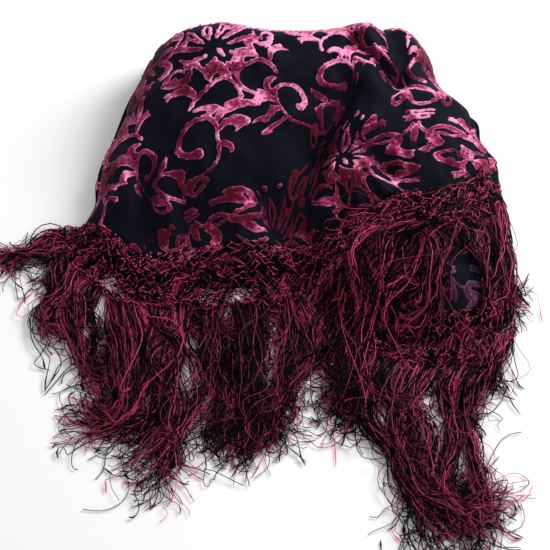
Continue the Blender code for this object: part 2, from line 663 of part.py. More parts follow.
def cover_strip(strip, heights):
    """Lay a backing strip on the map before any lock crosses it."""
    plan_in, plan_out, _, low, _ = strip
    count = len(low)
    high = low + STRIP_HEIGHT
    points = [*np.column_stack([plan_in, high]), *np.column_stack([plan_out, high])]
    heights.cover(points, [(count + i, count + i + 1, i + 1, i) for i in range(count - 1)])


def fringe(name, strip, heights, material):
    """Locks grown from the outer face of their backing strip, each laid over what is below it."""
    plan_in, plan_out, out, low, starts = strip
    corners = [
        np.column_stack([plan_in, low]),
        np.column_stack([plan_out, low]),
        np.column_stack([plan_out, low + STRIP_HEIGHT]),
        np.column_stack([plan_in, low + STRIP_HEIGHT]),
    ]
    count = len(low)
    points = [p for corner in corners for p in corner]
    inner_low, outer_low, outer_high, inner_high = (c * count for c in range(4))
    faces = [
        (outer_low, outer_high, inner_high, inner_low),
        tuple(c + count - 1 for c in (inner_low, inner_high, outer_high, outer_low)),
    ]
    for i in range(count - 1):
        j = i + 1
        faces.append((outer_high + i, outer_high + j, inner_high + j, inner_high + i))
        faces.append((inner_low + i, inner_low + j, outer_low + j, outer_low + i))
        faces.append((inner_high + i, inner_high + j, inner_low + j, inner_low + i))
        if i not in starts:
            faces.append((outer_low + i, outer_low + j, outer_high + j, outer_high + i))
    for i in list(starts)[::2] + list(starts)[1::2]:
        run, mix = starts[i]
        j = i + 1
        root = (plan_out[i] + plan_out[j]) / 2
        heading_root = run.root_in + mix * (run.root_out - run.root_in)
        heading_tip = run.tip_in + mix * (run.tip_out - run.tip_in)
        length = run.long_in + mix * (run.long_out - run.long_in)
        turn = run.turn_in + mix * (run.turn_out - run.turn_in)
        plan = lock_plan(root, heading_root, heading_tip, length, turn)
        side = np.gradient(plan, axis=0)
        side = np.stack([-side[:, 1], side[:, 0]], -1)
        side /= np.linalg.norm(side, axis=1, keepdims=True)
        way = plan[1] - plan[0]
        turned_away = abs(out[i] @ way) / np.linalg.norm(way)
        root_width = ROOT_SHARE * turned_away * np.linalg.norm(plan_out[j] - plan_out[i])
        share = np.linspace(0, 1, LOCK_RINGS + 1)
        width = LOCK_WIDTH * (1 - (1 - LOCK_TIP) * share**2)
        height = LOCK_HEIGHT * (1 - (1 - LOCK_TIP) * share**2)
        width[1] = min(width[1], root_width)
        line = lay_lock(plan, width, height, (low[i] + low[j] + STRIP_HEIGHT) / 2, heights)
        ring = [outer_low + i, outer_low + j, outer_high + j, outer_high + i]
        for k in range(1, LOCK_RINGS + 1):
            half_wide = width[k] / 2 * side[k]
            right = line[k] + [*(-half_wide), -height[k] / 2]
            left = line[k] + [*half_wide, -height[k] / 2]
            top = line[k] + [0, 0, height[k] / 2]
            new = [len(points), len(points) + 1, len(points) + 2]
            points += [right, left, top]
            if k == 1:
                a, b, c, d = ring
                faces += [(a, b, new[1], new[0]), (b, c, new[2], new[1])]
                faces += [(c, d, new[2]), (d, a, new[0], new[2])]
            else:
                for m in range(3):
                    n = (m + 1) % 3
                    faces.append((ring[m], ring[n], new[n], new[m]))
            ring = new
        faces.append(tuple(ring))
    add_piece(name, points, faces, material)


def main():
    """Clear the scene and build the shawl piece by piece."""
    for old in list(bpy.data.objects):
        bpy.data.objects.remove(old)
    velvet = make_material("velvet", (0.36, 0.03, 0.11), 0.8)
    chiffon = make_material("chiffon", (0.012, 0.012, 0.03), 0.7)
    net = make_material("net", (0.10, 0.008, 0.035), 0.6)
    thread = make_material("thread", (0.22, 0.01, 0.06), 0.45)
    heights = HeightMap()
    heights.cover(*folded_layers(chiffon))
    *panel, hem = top_panel(velvet)

    hem_plan, place = hem_columns(FRONT_NET, hem, 2)
    front_plan = band_plan(hem_plan, FRONT_NET, place, NET_ACROSS)
    front_edge = Edge(front_plan[-1])
    strips = {
        "left_fringe": fringe_strip(front_edge, (0.0, 0.24), LEFT_FRINGE, heights),
        "front_left_fringe": fringe_strip(front_edge, (0.25, 0.60), FRONT_LEFT_FRINGE, heights),
        "front_right_fringe": fringe_strip(front_edge, (0.61, 1.0), FRONT_RIGHT_FRINGE, heights),
    }
    front_net = band("front_net", front_plan, heights, NET_WALL, net)
    heights.cover(*front_net)

    hem_plan, place = hem_columns(RIGHT_NET, hem, 2)
    lower_plan = band_plan(hem_plan, LOWER_PANEL, place, PANEL_ACROSS)
    heights.cover(*band("lower_panel", lower_plan, heights, CLOTH_WALL, velvet))
    lower_net_plan = band_plan(lower_plan[-1], LOWER_NET, place, NET_ACROSS)
    strips["lower_fringe"] = fringe_strip(Edge(lower_net_plan[-1]), (0, 1), LOWER_FRINGE, heights)
    lower_net = band("lower_net", lower_net_plan, heights, NET_WALL, net)

    right_plan = band_plan(hem_plan, RIGHT_NET, place, NET_ACROSS)
    strips["right_fringe"] = fringe_strip(Edge(right_plan[-1]), (0, 1), RIGHT_FRINGE, heights)
    right_net = band("right_net", right_plan, heights, NET_WALL, net)
    for piece in (lower_net, right_net, panel):
        heights.cover(*piece)
    for strip in strips.values():
        cover_strip(strip, heights)
    for name in ("left_fringe", "lower_fringe", "front_left_fringe", "front_right_fringe", "right_fringe"):
        fringe(name, strips[name], heights, thread)


main()
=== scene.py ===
"""Look of a piano shawl that lies folded and dropped in a loose heap.

The panel is burnt-out velvet on chiffon, with a knotted net band along its hem and a long fringe of
black and magenta thread. Lengths are in metres, and those of the drawn scrollwork in millimetres.
The heap is described with its own middle line, and every piece is moved by SHIFT into the frame.
"""

from __future__ import annotations

import logging
import math
from dataclasses import dataclass, field
from enum import Enum
from typing import Any, NamedTuple, Sequence

import bpy
import numpy as np
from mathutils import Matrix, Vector

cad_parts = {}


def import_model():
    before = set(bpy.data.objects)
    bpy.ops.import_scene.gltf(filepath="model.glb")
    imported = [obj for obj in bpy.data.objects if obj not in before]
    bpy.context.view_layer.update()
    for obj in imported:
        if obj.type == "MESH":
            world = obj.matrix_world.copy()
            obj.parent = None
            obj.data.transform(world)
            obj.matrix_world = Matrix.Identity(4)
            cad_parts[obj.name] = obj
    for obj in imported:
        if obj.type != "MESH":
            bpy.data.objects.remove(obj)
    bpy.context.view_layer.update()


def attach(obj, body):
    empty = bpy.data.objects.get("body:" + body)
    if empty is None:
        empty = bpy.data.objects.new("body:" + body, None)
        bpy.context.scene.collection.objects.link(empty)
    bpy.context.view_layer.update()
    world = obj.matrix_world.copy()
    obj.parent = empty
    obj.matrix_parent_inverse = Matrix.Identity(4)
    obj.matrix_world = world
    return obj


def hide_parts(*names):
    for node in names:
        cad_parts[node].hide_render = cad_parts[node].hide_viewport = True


LOG = logging.getLogger("piano_shawl")

Array = np.ndarray
Colour = tuple[float, float, float]
Place = tuple[float, float, float]

SHIFT = (0.0172, 0.0127, 0.0)  # from the heap's middle line to the frame
HEAP_X, HEAP_Y = 0.030, 0.150  # the middle that the outline turns round
SIDE_FALL = 0.16  # share of the height lost at SIDE_REACH to either side
SIDE_REACH = 0.24
HIDDEN_LAYERS = 3
GROOVE_DEPTH = 0.0070
LAYER_WANDER = 0.0035
CLOTH_WALL = 0.0022
REACH_LOW, REACH_HIGH = (-0.316, -0.346), (0.280, 0.330)  # past these the fringe's tips lie tucked in
TUCK = 0.75  # share of what goes past them that is taken back
TAKEN_IN_FROM, TAKEN_IN_SHARE = -0.0055, 1.2  # which troughs hide cloth, and how much
TAKEN_IN_REACH, TAKEN_IN_END = 0.26, 0.040  # how far off a trough this goes, and past its ends
TAKEN_IN_NEAR = 0.45  # share of a trough's half width over which it sets in
# painted shade: trough depth at which the pile starts to be painted darker, and the depth over which it
# darkens fully
PAINTED_SHADE_FROM, PAINTED_SHADE_DEPTH = 0.001, 0.016
UNEVEN_BROAD, UNEVEN_SMALL = 0.0011, 0.00045  # heights of the cloth's small unevenness
HEM_OVER_ROLL = 1.02  # where the top layer isn't sewn to a net, it ends this far over the rolled folds
PAINTED_SHEEN_WAY = (0.10, 0.42, 0.90)  # painted sheen: pile facing this way, up and towards the back, is painted lighter, as if lit from above


class Outline(NamedTuple):
    """Foot of the heap at one angle round its middle: how far out it lies, how the side rounds out over
    it and falls to it, and how much and how high the hidden layers show."""

    angle: float
    reach: float
    round_out: float
    fall: float
    layered: float
    roll_z: float


OUTLINE = [
    Outline(0, 0.219, 4.2, 2.0, 1, 0.030),
    Outline(7, 0.205, 4.2, 2.0, 1, 0.034),
    Outline(15, 0.207, 4.4, 2.0, 1, 0.036),
    Outline(23, 0.190, 4.2, 2.0, 1, 0.036),
    Outline(31, 0.187, 4.4, 2.0, 1, 0.038),
    Outline(38, 0.197, 4.6, 2.1, 1, 0.038),
    Outline(51, 0.204, 4.8, 2.2, 1, 0.040),
    Outline(66, 0.178, 4.6, 2.1, 1, 0.040),
    Outline(90, 0.158, 4.4, 2.0, 1, 0.040),
    Outline(112, 0.172, 4.6, 2.1, 1, 0.040),
    Outline(128, 0.210, 5.0, 2.3, 1, 0.040),
    Outline(138, 0.220, 5.0, 2.3, 1, 0.034),
    Outline(154, 0.215, 4.2, 2.0, 1, 0.026),
    Outline(174, 0.218, 3.6, 1.9, 0.9, 0.020),
    Outline(185, 0.234, 3.4, 1.8, 0.8, 0.018),
    Outline(192, 0.238, 3.6, 1.8, 0.5, 0.018),
    Outline(200, 0.264, 3.4, 1.8, 0, 0.018),
    Outline(209, 0.264, 3.0, 1.5, 0, 0.018),
    Outline(221, 0.238, 2.6, 1.3, 0, 0.018),
    Outline(236, 0.194, 2.6, 1.3, 0, 0.018),
    Outline(252, 0.166, 2.6, 1.3, 0, 0.018),
    Outline(272, 0.158, 2.6, 1.3, 0, 0.018),
    Outline(283, 0.182, 2.8, 1.4, 0, 0.018),
    Outline(291, 0.236, 3.2, 1.6, 0, 0.018),
    Outline(299, 0.266, 3.6, 1.7, 0, 0.018),
    Outline(307, 0.287, 3.8, 1.7, 0, 0.018),
    Outline(315, 0.300, 4.0, 1.7, 0, 0.018),
    Outline(323, 0.292, 4.2, 1.7, 0, 0.020),
    Outline(334, 0.258, 4.4, 1.9, 0.1, 0.024),
    Outline(346, 0.236, 4.4, 2.0, 0.4, 0.026),
    Outline(353, 0.224, 4.4, 2.0, 0.8, 0.026),
]


class Crown(NamedTuple):
    """Height of the heap at one depth."""

    y: float
    height: float


CROWN = [
    Crown(-0.120, 0.034),
    Crown(-0.060, 0.044),
    Crown(0.000, 0.048),
    Crown(0.040, 0.053),
    Crown(0.090, 0.074),
    Crown(0.140, 0.094),
    Crown(0.200, 0.110),
    Crown(0.260, 0.117),
    Crown(0.340, 0.117),
]


class Fold(NamedTuple):
    """A trough (rise under 0) or ridge: its line in plan, half widths at both ends, and height."""

    x0: float
    y0: float
    x1: float
    y1: float
    width0: float
    width1: float
    rise: float


LARGE_FOLDS = [
    Fold(0.084, 0.190, 0.052, 0.130, 0.012, 0.022, -0.016),
    Fold(0.050, 0.126, 0.018, 0.062, 0.022, 0.034, -0.019),
    Fold(0.118, 0.178, 0.082, 0.098, 0.016, 0.020, 0.012),
    Fold(0.128, 0.096, 0.100, 0.120, 0.012, 0.016, -0.009),
    Fold(0.135, 0.204, 0.128, 0.212, 0.013, 0.012, -0.014),
    Fold(0.128, 0.222, 0.100, 0.262, 0.007, 0.009, 0.007),
    Fold(0.120, 0.222, 0.082, 0.250, 0.007, 0.009, -0.006),
    Fold(0.140, 0.226, 0.140, 0.268, 0.007, 0.009, -0.006),
    Fold(0.152, 0.222, 0.166, 0.256, 0.008, 0.010, 0.007),
    Fold(0.178, 0.190, 0.196, 0.130, 0.014, 0.018, 0.006),
    Fold(-0.144, 0.112, -0.138, 0.034, 0.014, 0.016, -0.012),
    Fold(-0.178, 0.122, -0.172, 0.050, 0.014, 0.018, 0.008),
    Fold(-0.060, 0.120, -0.030, 0.040, 0.030, 0.034, 0.008),
    Fold(-0.020, 0.086, 0.000, 0.042, 0.010, 0.012, -0.007),
    Fold(0.048, 0.064, 0.060, 0.036, 0.010, 0.012, 0.008),
    Fold(-0.100, 0.074, -0.094, 0.030, 0.010, 0.014, -0.006),
    Fold(-0.110, 0.260, -0.020, 0.262, 0.020, 0.030, 0.004),
    Fold(0.092, 0.276, 0.104, 0.272, 0.014, 0.013, 0.010),
    Fold(0.124, 0.296, 0.126, 0.250, 0.011, 0.012, -0.009),
    Fold(0.150, 0.280, 0.160, 0.256, 0.015, 0.016, 0.006),
    Fold(0.190, 0.040, 0.215, -0.050, 0.030, 0.034, 0.010),
    Fold(0.150, 0.020, 0.140, -0.060, 0.014, 0.018, -0.007),
    Fold(0.238, 0.030, 0.250, -0.030, 0.014, 0.016, -0.005),
]

FINE_FOLDS = [
    Fold(0.078, 0.180, 0.022, 0.056, 0.0060, 0.0090, -0.0040),
    Fold(0.092, 0.170, 0.042, 0.060, 0.0060, 0.0090, 0.0032),
    Fold(0.062, 0.184, 0.002, 0.066, 0.0070, 0.0110, 0.0030),
    Fold(0.112, 0.214, 0.062, 0.232, 0.0040, 0.0060, 0.0024),
    Fold(0.108, 0.226, 0.066, 0.262, 0.0040, 0.0060, 0.0026),
    Fold(0.132, 0.228, 0.124, 0.262, 0.0036, 0.0050, 0.0030),
    Fold(0.148, 0.218, 0.178, 0.238, 0.0040, 0.0060, 0.0028),
    Fold(0.146, 0.200, 0.182, 0.196, 0.0040, 0.0060, -0.0026),
    Fold(0.140, 0.192, 0.152, 0.156, 0.0044, 0.0060, 0.0030),
    Fold(0.126, 0.196, 0.116, 0.160, 0.0040, 0.0060, -0.0024),
    Fold(0.100, 0.190, 0.070, 0.150, 0.0040, 0.0060, 0.0026),
    Fold(0.080, 0.150, 0.048, 0.090, 0.0045, 0.0070, 0.0030),
    Fold(0.096, 0.104, 0.120, 0.076, 0.0040, 0.0050, 0.0034),
    Fold(0.140, 0.128, 0.150, 0.088, 0.0050, 0.0060, -0.0030),
    Fold(0.168, 0.130, 0.180, 0.094, 0.0050, 0.0060, 0.0030),
    Fold(0.196, 0.150, 0.214, 0.108, 0.0050, 0.0060, -0.0028),
    Fold(0.204, 0.172, 0.232, 0.128, 0.0050, 0.0060, 0.0030),
    Fold(-0.150, 0.200, -0.060, 0.224, 0.0080, 0.0120, 0.0022),
    Fold(-0.130, 0.226, -0.020, 0.238, 0.0080, 0.0100, -0.0022),
    Fold(-0.160, 0.150, -0.090, 0.180, 0.0080, 0.0120, -0.0026),
    Fold(-0.100, 0.160, -0.020, 0.150, 0.0100, 0.0120, 0.0024),
    Fold(-0.010, 0.230, 0.050, 0.214, 0.0080, 0.0100, 0.0022),
    Fold(0.010, 0.200, 0.056, 0.176, 0.0070, 0.0090, -0.0026),
    Fold(-0.124, 0.096, -0.112, 0.040, 0.0060, 0.0080, 0.0040),
    Fold(-0.160, 0.100, -0.156, 0.046, 0.0050, 0.0070, 0.0034),
    Fold(-0.084, 0.070, -0.078, 0.034, 0.0050, 0.0070, 0.0034),
    Fold(-0.066, 0.064, -0.062, 0.034, 0.0044, 0.0060, -0.0030),
    Fold(-0.042, 0.060, -0.040, 0.034, 0.0044, 0.0060, 0.0032),
    Fold(-0.012, 0.070, -0.010, 0.036, 0.0044, 0.0060, 0.0030),
    Fold(0.020, 0.076, 0.024, 0.036, 0.0050, 0.0070, 0.0036),
    Fold(0.036, 0.070, 0.040, 0.036, 0.0044, 0.0060, -0.0030),
    Fold(0.070, 0.086, 0.078, 0.046, 0.0044, 0.0060, -0.0034),
    Fold(0.086, 0.090, 0.094, 0.056, 0.0044, 0.0060, 0.0030),
]


class Station(NamedTuple):
    """One crossing of a band: its inner and its outer edge in plan."""

    inner_x: float
    inner_y: float
    outer_x: float
    outer_y: float


FRONT_NET = [
    Station(-0.2057, 0.0658, -0.2380, 0.0700),
    Station(-0.1925, 0.0573, -0.2310, 0.0360),
    Station(-0.1730, 0.0435, -0.2060, 0.0040),
    Station(-0.1540, 0.0290, -0.1760, -0.0220),
    Station(-0.1265, 0.0246, -0.1350, -0.0340),
    Station(-0.0825, 0.0285, -0.0860, -0.0350),
    Station(-0.0275, 0.0317, -0.0300, -0.0320),
    Station(0.0165, 0.0317, 0.0180, -0.0280),
    Station(0.0550, 0.0343, 0.0560, -0.0150),
    Station(0.0825, 0.0461, 0.0850, 0.0090),
    Station(0.1010, 0.0560, 0.1030, 0.0270),
]
RIGHT_NET = [
    Station(0.1075, 0.0615, 0.1200, 0.0360),
    Station(0.1375, 0.0766, 0.1560, 0.0380),
    Station(0.1815, 0.0852, 0.1990, 0.0440),
    Station(0.2140, 0.0993, 0.2340, 0.0600),
    Station(0.2280, 0.1200, 0.2570, 0.0900),
]
LOWER_PANEL = [
    Station(0.1090, 0.0640, 0.1160, -0.0560),
    Station(0.1400, 0.0780, 0.1450, -0.0580),
    Station(0.1840, 0.0866, 0.1870, -0.0520),
    Station(0.2165, 0.1010, 0.2220, -0.0440),
    Station(0.2310, 0.1180, 0.2450, -0.0220),
]
LOWER_NET = [
    Station(0.1160, -0.0560, 0.1000, -0.0900),
    Station(0.1450, -0.0580, 0.1400, -0.1040),
    Station(0.1870, -0.0520, 0.1900, -0.1080),
    Station(0.2220, -0.0440, 0.2370, -0.0980),
    Station(0.2450, -0.0220, 0.2640, -0.0600),
]


class Run(NamedTuple):
    """A run of fringe along a net's edge, with headings in plan in degrees at its root, middle and tip."""

    start: float
    stop: float
    root_in: float
    root_out: float
    middle_in: float
    middle_out: float
    tip_in: float
    tip_out: float
    long_in: float
    long_out: float
    inset: float = 0.005
    share: float = 1.0


LEFT_RUNS = [
    Run(0.00, 0.36, 164, 196, 190, 214, 210, 250, 0.082, 0.098),
    Run(0.30, 0.62, 214, 232, 270, 280, 330, 345, 0.120, 0.170, 0.005, 0.8),
    Run(0.62, 1.00, 226, 244, 268, 292, 326, 345, 0.150, 0.205),
    Run(0.05, 0.95, 186, 236, 225, 252, 250, 282, 0.066, 0.110, 0.030, 0.5),
]
FRONT_LEFT_RUNS = [
    Run(0.00, 0.34, 276, 272, 266, 254, 150, 178, 0.215, 0.236),
    Run(0.34, 0.52, 282, 274, 264, 256, 180, 196, 0.225, 0.240),
    Run(0.52, 0.76, 282, 256, 268, 262, 212, 232, 0.256, 0.276),
    Run(0.76, 1.00, 262, 280, 262, 282, 282, 304, 0.240, 0.206),
    Run(0.00, 0.70, 310, 300, 342, 320, 290, 262, 0.140, 0.160, 0.020, 0.4),
    Run(0.20, 1.00, 236, 250, 206, 222, 256, 276, 0.130, 0.150, 0.024, 0.4),
]
FRONT_RIGHT_RUNS = [
    Run(0.00, 0.36, 276, 268, 278, 252, 246, 236, 0.222, 0.200),
    Run(0.36, 0.74, 262, 280, 244, 268, 244, 250, 0.204, 0.210),
    Run(0.74, 1.00, 272, 280, 268, 274, 250, 258, 0.204, 0.206),
    Run(0.00, 0.60, 304, 292, 330, 312, 276, 262, 0.130, 0.150, 0.022, 0.45),
    Run(0.10, 1.00, 236, 252, 212, 230, 256, 270, 0.130, 0.150, 0.024, 0.5),
]
LOWER_RUNS = [
    Run(0.00, 0.35, 244, 238, 294, 300, 322, 318, 0.284, 0.296),
    Run(0.35, 0.66, 228, 236, 286, 278, 328, 318, 0.280, 0.204),
    Run(0.66, 1.00, 244, 236, 238, 222, 286, 250, 0.112, 0.094),
    Run(0.00, 0.90, 234, 242, 246, 232, 268, 246, 0.080, 0.064, 0.024, 0.7),
]
RIGHT_RUNS = [
    Run(0.00, 0.30, 196, 208, 238, 250, 318, 312, 0.130, 0.140),
    Run(0.12, 0.40, 296, 306, 258, 266, 196, 206, 0.124, 0.144, 0.005, 0.8),
    Run(0.24, 0.56, 182, 192, 222, 234, 316, 330, 0.160, 0.186),
    Run(0.46, 1.00, 306, 284, 284, 268, 246, 254, 0.125, 0.142),
    Run(0.20, 1.00, 196, 226, 204, 246, 228, 284, 0.100, 0.120, 0.046, 0.8),
]
PATCH_OPENING = (0.206, -0.018, 0.017, 0.036)  # where the threads part: its middle and half sizes


class Stroke(NamedTuple):
    """One stroke of the scrollwork, in millimetres: a curve that turns as it goes, and its half width
    at its start, middle and end. bias over 1 turns more towards the end, and a leaf has side lobes."""

    x: float
    y: float
    heading: float
    turn: float
    bias: float
    length: float
    wide0: float
    wide1: float
    wide2: float
    lobes: int = 0


SCROLL_PAIR = [
    Stroke(1, -46, 22, 345, 2.10, 168, 2.4, 2.3, 4.2),
    Stroke(33, 42, 20, -250, 1.5, 32, 2.6, 5.4, 0.6, 1),
    Stroke(53, 16, 84, -170, 1.5, 42, 1.8, 7.0, 0.4, 3),
    Stroke(55, 8, 44, -185, 1.4, 31, 1.6, 5.0, 0.4, 2),
    Stroke(52, -7, 14, -170, 1.4, 23, 1.4, 3.8, 0.4),
    Stroke(10, -41, 60, 170, 1.7, 40, 1.2, 5.0, 0.4, 1),
    Stroke(20, -33, 40, -150, 1.5, 18, 1.0, 3.2, 0.4),
    Stroke(33, -30, -42, -285, 1.35, 44, 1.9, 2.4, 4.6),
    Stroke(0, -56, 0, -12, 1.0, 10.0, 2.4, 2.4, 2.0),
    Stroke(0, -62, 0, -12, 1.0, 12.0, 2.4, 2.4, 2.0),
    Stroke(0, -68, 0, -12, 1.0, 10.0, 2.4, 2.4, 2.0),
    Stroke(3, -76, -66, 205, 1.50, 86, 2.4, 2.3, 3.4),
    Stroke(19, -98, -80, -120, 1.2, 30, 1.4, 5.4, 0.5, 2),
    Stroke(38, -99, -60, 150, 1.2, 32, 1.4, 5.4, 0.5, 2),
    Stroke(47, -86, 100, 110, 1.3, 26, 1.4, 4.4, 0.5, 2),
    Stroke(0, -78, -90, 0, 1.0, 26, 1.4, 4.8, 0.5),
    Stroke(0, -14, 90, 0, 1.0, 26, 0.8, 4.2, 0.5),
    Stroke(29, 49, 68, -255, 1.50, 96, 2.3, 2.3, 4.0),
    Stroke(35, 64, 105, 150, 1.5, 34, 1.6, 5.0, 0.4, 2),
    Stroke(49, 76, 66, -170, 1.5, 34, 1.6, 5.8, 0.4, 3),
    Stroke(63, 75, 20, -150, 1.5, 22, 1.4, 3.6, 0.4),
]
PALMETTE = [
    Stroke(0, -2, 90, 0, 1.0, 38, 1.0, 6.4, 0.5),
    Stroke(7, -4, 58, 22, 1.0, 37, 1.0, 5.2, 0.5),
    Stroke(12, -9, 24, 46, 1.0, 38, 1.0, 4.6, 0.6),
    Stroke(14, -16, -8, 86, 1.4, 38, 1.0, 3.4, 0.6),
    Stroke(0, -18, -90, 0, 1.0, 7, 3.0, 3.6, 2.0),
    Stroke(11, -24, -62, 20, 1.0, 8, 1.8, 2.8, 1.2),
    Stroke(48, -20, 72, -250, 1.5, 42, 2.0, 2.6, 4.2),
    Stroke(0, 47, 0, 0, 1.0, 0.1, 3.8, 3.8, 3.8),
    Stroke(15, 43, 0, 0, 1.0, 0.1, 3.0, 3.0, 3.0),
    Stroke(28, 36, 0, 0, 1.0, 0.1, 2.5, 2.5, 2.5),
    Stroke(42, 12, 88, -215, 1.4, 46, 1.8, 3.6, 3.2),
    Stroke(66, -22, 230, -110, 1.2, 34, 1.4, 4.6, 0.5, 1),
]
SLITS = [
    Stroke(0, 6, 90, 0, 1.0, 22, 0.5, 2.2, 0.5),
    Stroke(12, 5, 62, 16, 1.0, 21, 0.5, 1.7, 0.5),
]
STROKE_FULLER = 0.88
LOBE_LEAN, LOBE_TURN = 58, 80  # how far a side lobe leaves its leaf's course, and turns back
LOBE_LONG, LOBE_LONGER = 4.0, 1.5  # its length, and how much more for the leaf's half width there
LOBE_WIDE = (2.0, 2.6, 0.4)
BUD_FROM, BUD_FULLER = 3.3, 1.45  # strokes that end as wide as this carry a round bud, this much wider
FRILL_RADIUS, FRILL_WAVE, FRILL_SCALLOPS, FRILL_WIDE = 42.0, 7.5, 7, 2.5
FRILL_ROUND = 1.22  # how far round the palmette half of the frill goes, in radians
REPEAT_X, REPEAT_Y = 160.0, 234.0


def smooth_rows(at: Array, knots: Sequence[float], values: Sequence[float], period: float = 0.0) -> Array:
    """Reads a smooth curve through the rows of a table.

    Args:
        at: where to read it.
        knots: the rows' places, rising.
        values: the rows' values.
        period: length after which the curve repeats, or 0.

    Returns:
        The curve's values.
    """
    at = np.asarray(at, float)
    knots, values = np.asarray(knots, float), np.asarray(values, float)
    if period:
        at = np.mod(at, period)
        knots = np.concatenate([knots[-2:] - period, knots, knots[:2] + period])
        values = np.concatenate([values[-2:], values, values[:2]])
    slopes = np.gradient(values, knots)
    k = np.clip(np.searchsorted(knots, at, side="right") - 1, 0, len(knots) - 2)
    step = knots[k + 1] - knots[k]
    u = np.clip((at - knots[k]) / step, 0, 1)
    return (
        values[k] * (1 + 2 * u) * (1 - u) ** 2
        + slopes[k] * step * u * (1 - u) ** 2
        + values[k + 1] * u**2 * (3 - 2 * u)
        + slopes[k + 1] * step * u**2 * (u - 1)
    )


def ease(u: Array) -> Array:
    """Smooth step from 0 to 1."""
    u = np.clip(u, 0, 1)
    return u * u * (3 - 2 * u)


def read_table(table: Array, i: Array, j: Array) -> Array:
    """Reads a table between its entries.

    Args:
        table: rows by columns, with or without a last axis.
        i: places along the rows' axis, in entries.
        j: places along the columns' axis.

    Returns:
        The values there, from the four entries round each place.
    """
    i = np.clip(i, 0, table.shape[0] - 1.000001)
    j = np.clip(j, 0, table.shape[1] - 1.000001)
    a, b = i.astype(int), j.astype(int)
    s, t = i - a, j - b
    if table.ndim == 3:
        s, t = s[..., None], t[..., None]
    low = table[a, b] * (1 - s) + table[a + 1, b] * s
    high = table[a, b + 1] * (1 - s) + table[a + 1, b + 1] * s
    return low * (1 - t) + high * t


class Ripple:
    """Smooth unevenness over a plane, from waves that run in all directions."""

    def __init__(self, seed: int, wavelength: float, waves: int = 9) -> None:
        """Draws the waves.

        Args:
            seed: start of the random draw.
            wavelength: about how far apart the crests are.
            waves: how many waves are added.
        """
        draw = np.random.default_rng(seed)
        way = draw.uniform(0, 2 * np.pi, waves)
        scale = 2 * np.pi / (wavelength * draw.uniform(0.7, 1.6, waves))
        self.kx, self.ky = scale * np.cos(way), scale * np.sin(way)
        self.phase = draw.uniform(0, 2 * np.pi, waves)

    def at(self, x: Array, y: Array) -> Array:
        """Reads the unevenness.

        Args:
            x: places in the plane.
            y: their other coordinate.

        Returns:
            The value at each place, mostly from -1.5 to 1.5.
        """
        total = np.zeros(np.broadcast(x, y).shape)
        for kx, ky, phase in zip(self.kx, self.ky, self.phase):
            total += np.sin(kx * x + ky * y + phase)
        return total * math.sqrt(2 / len(self.phase))


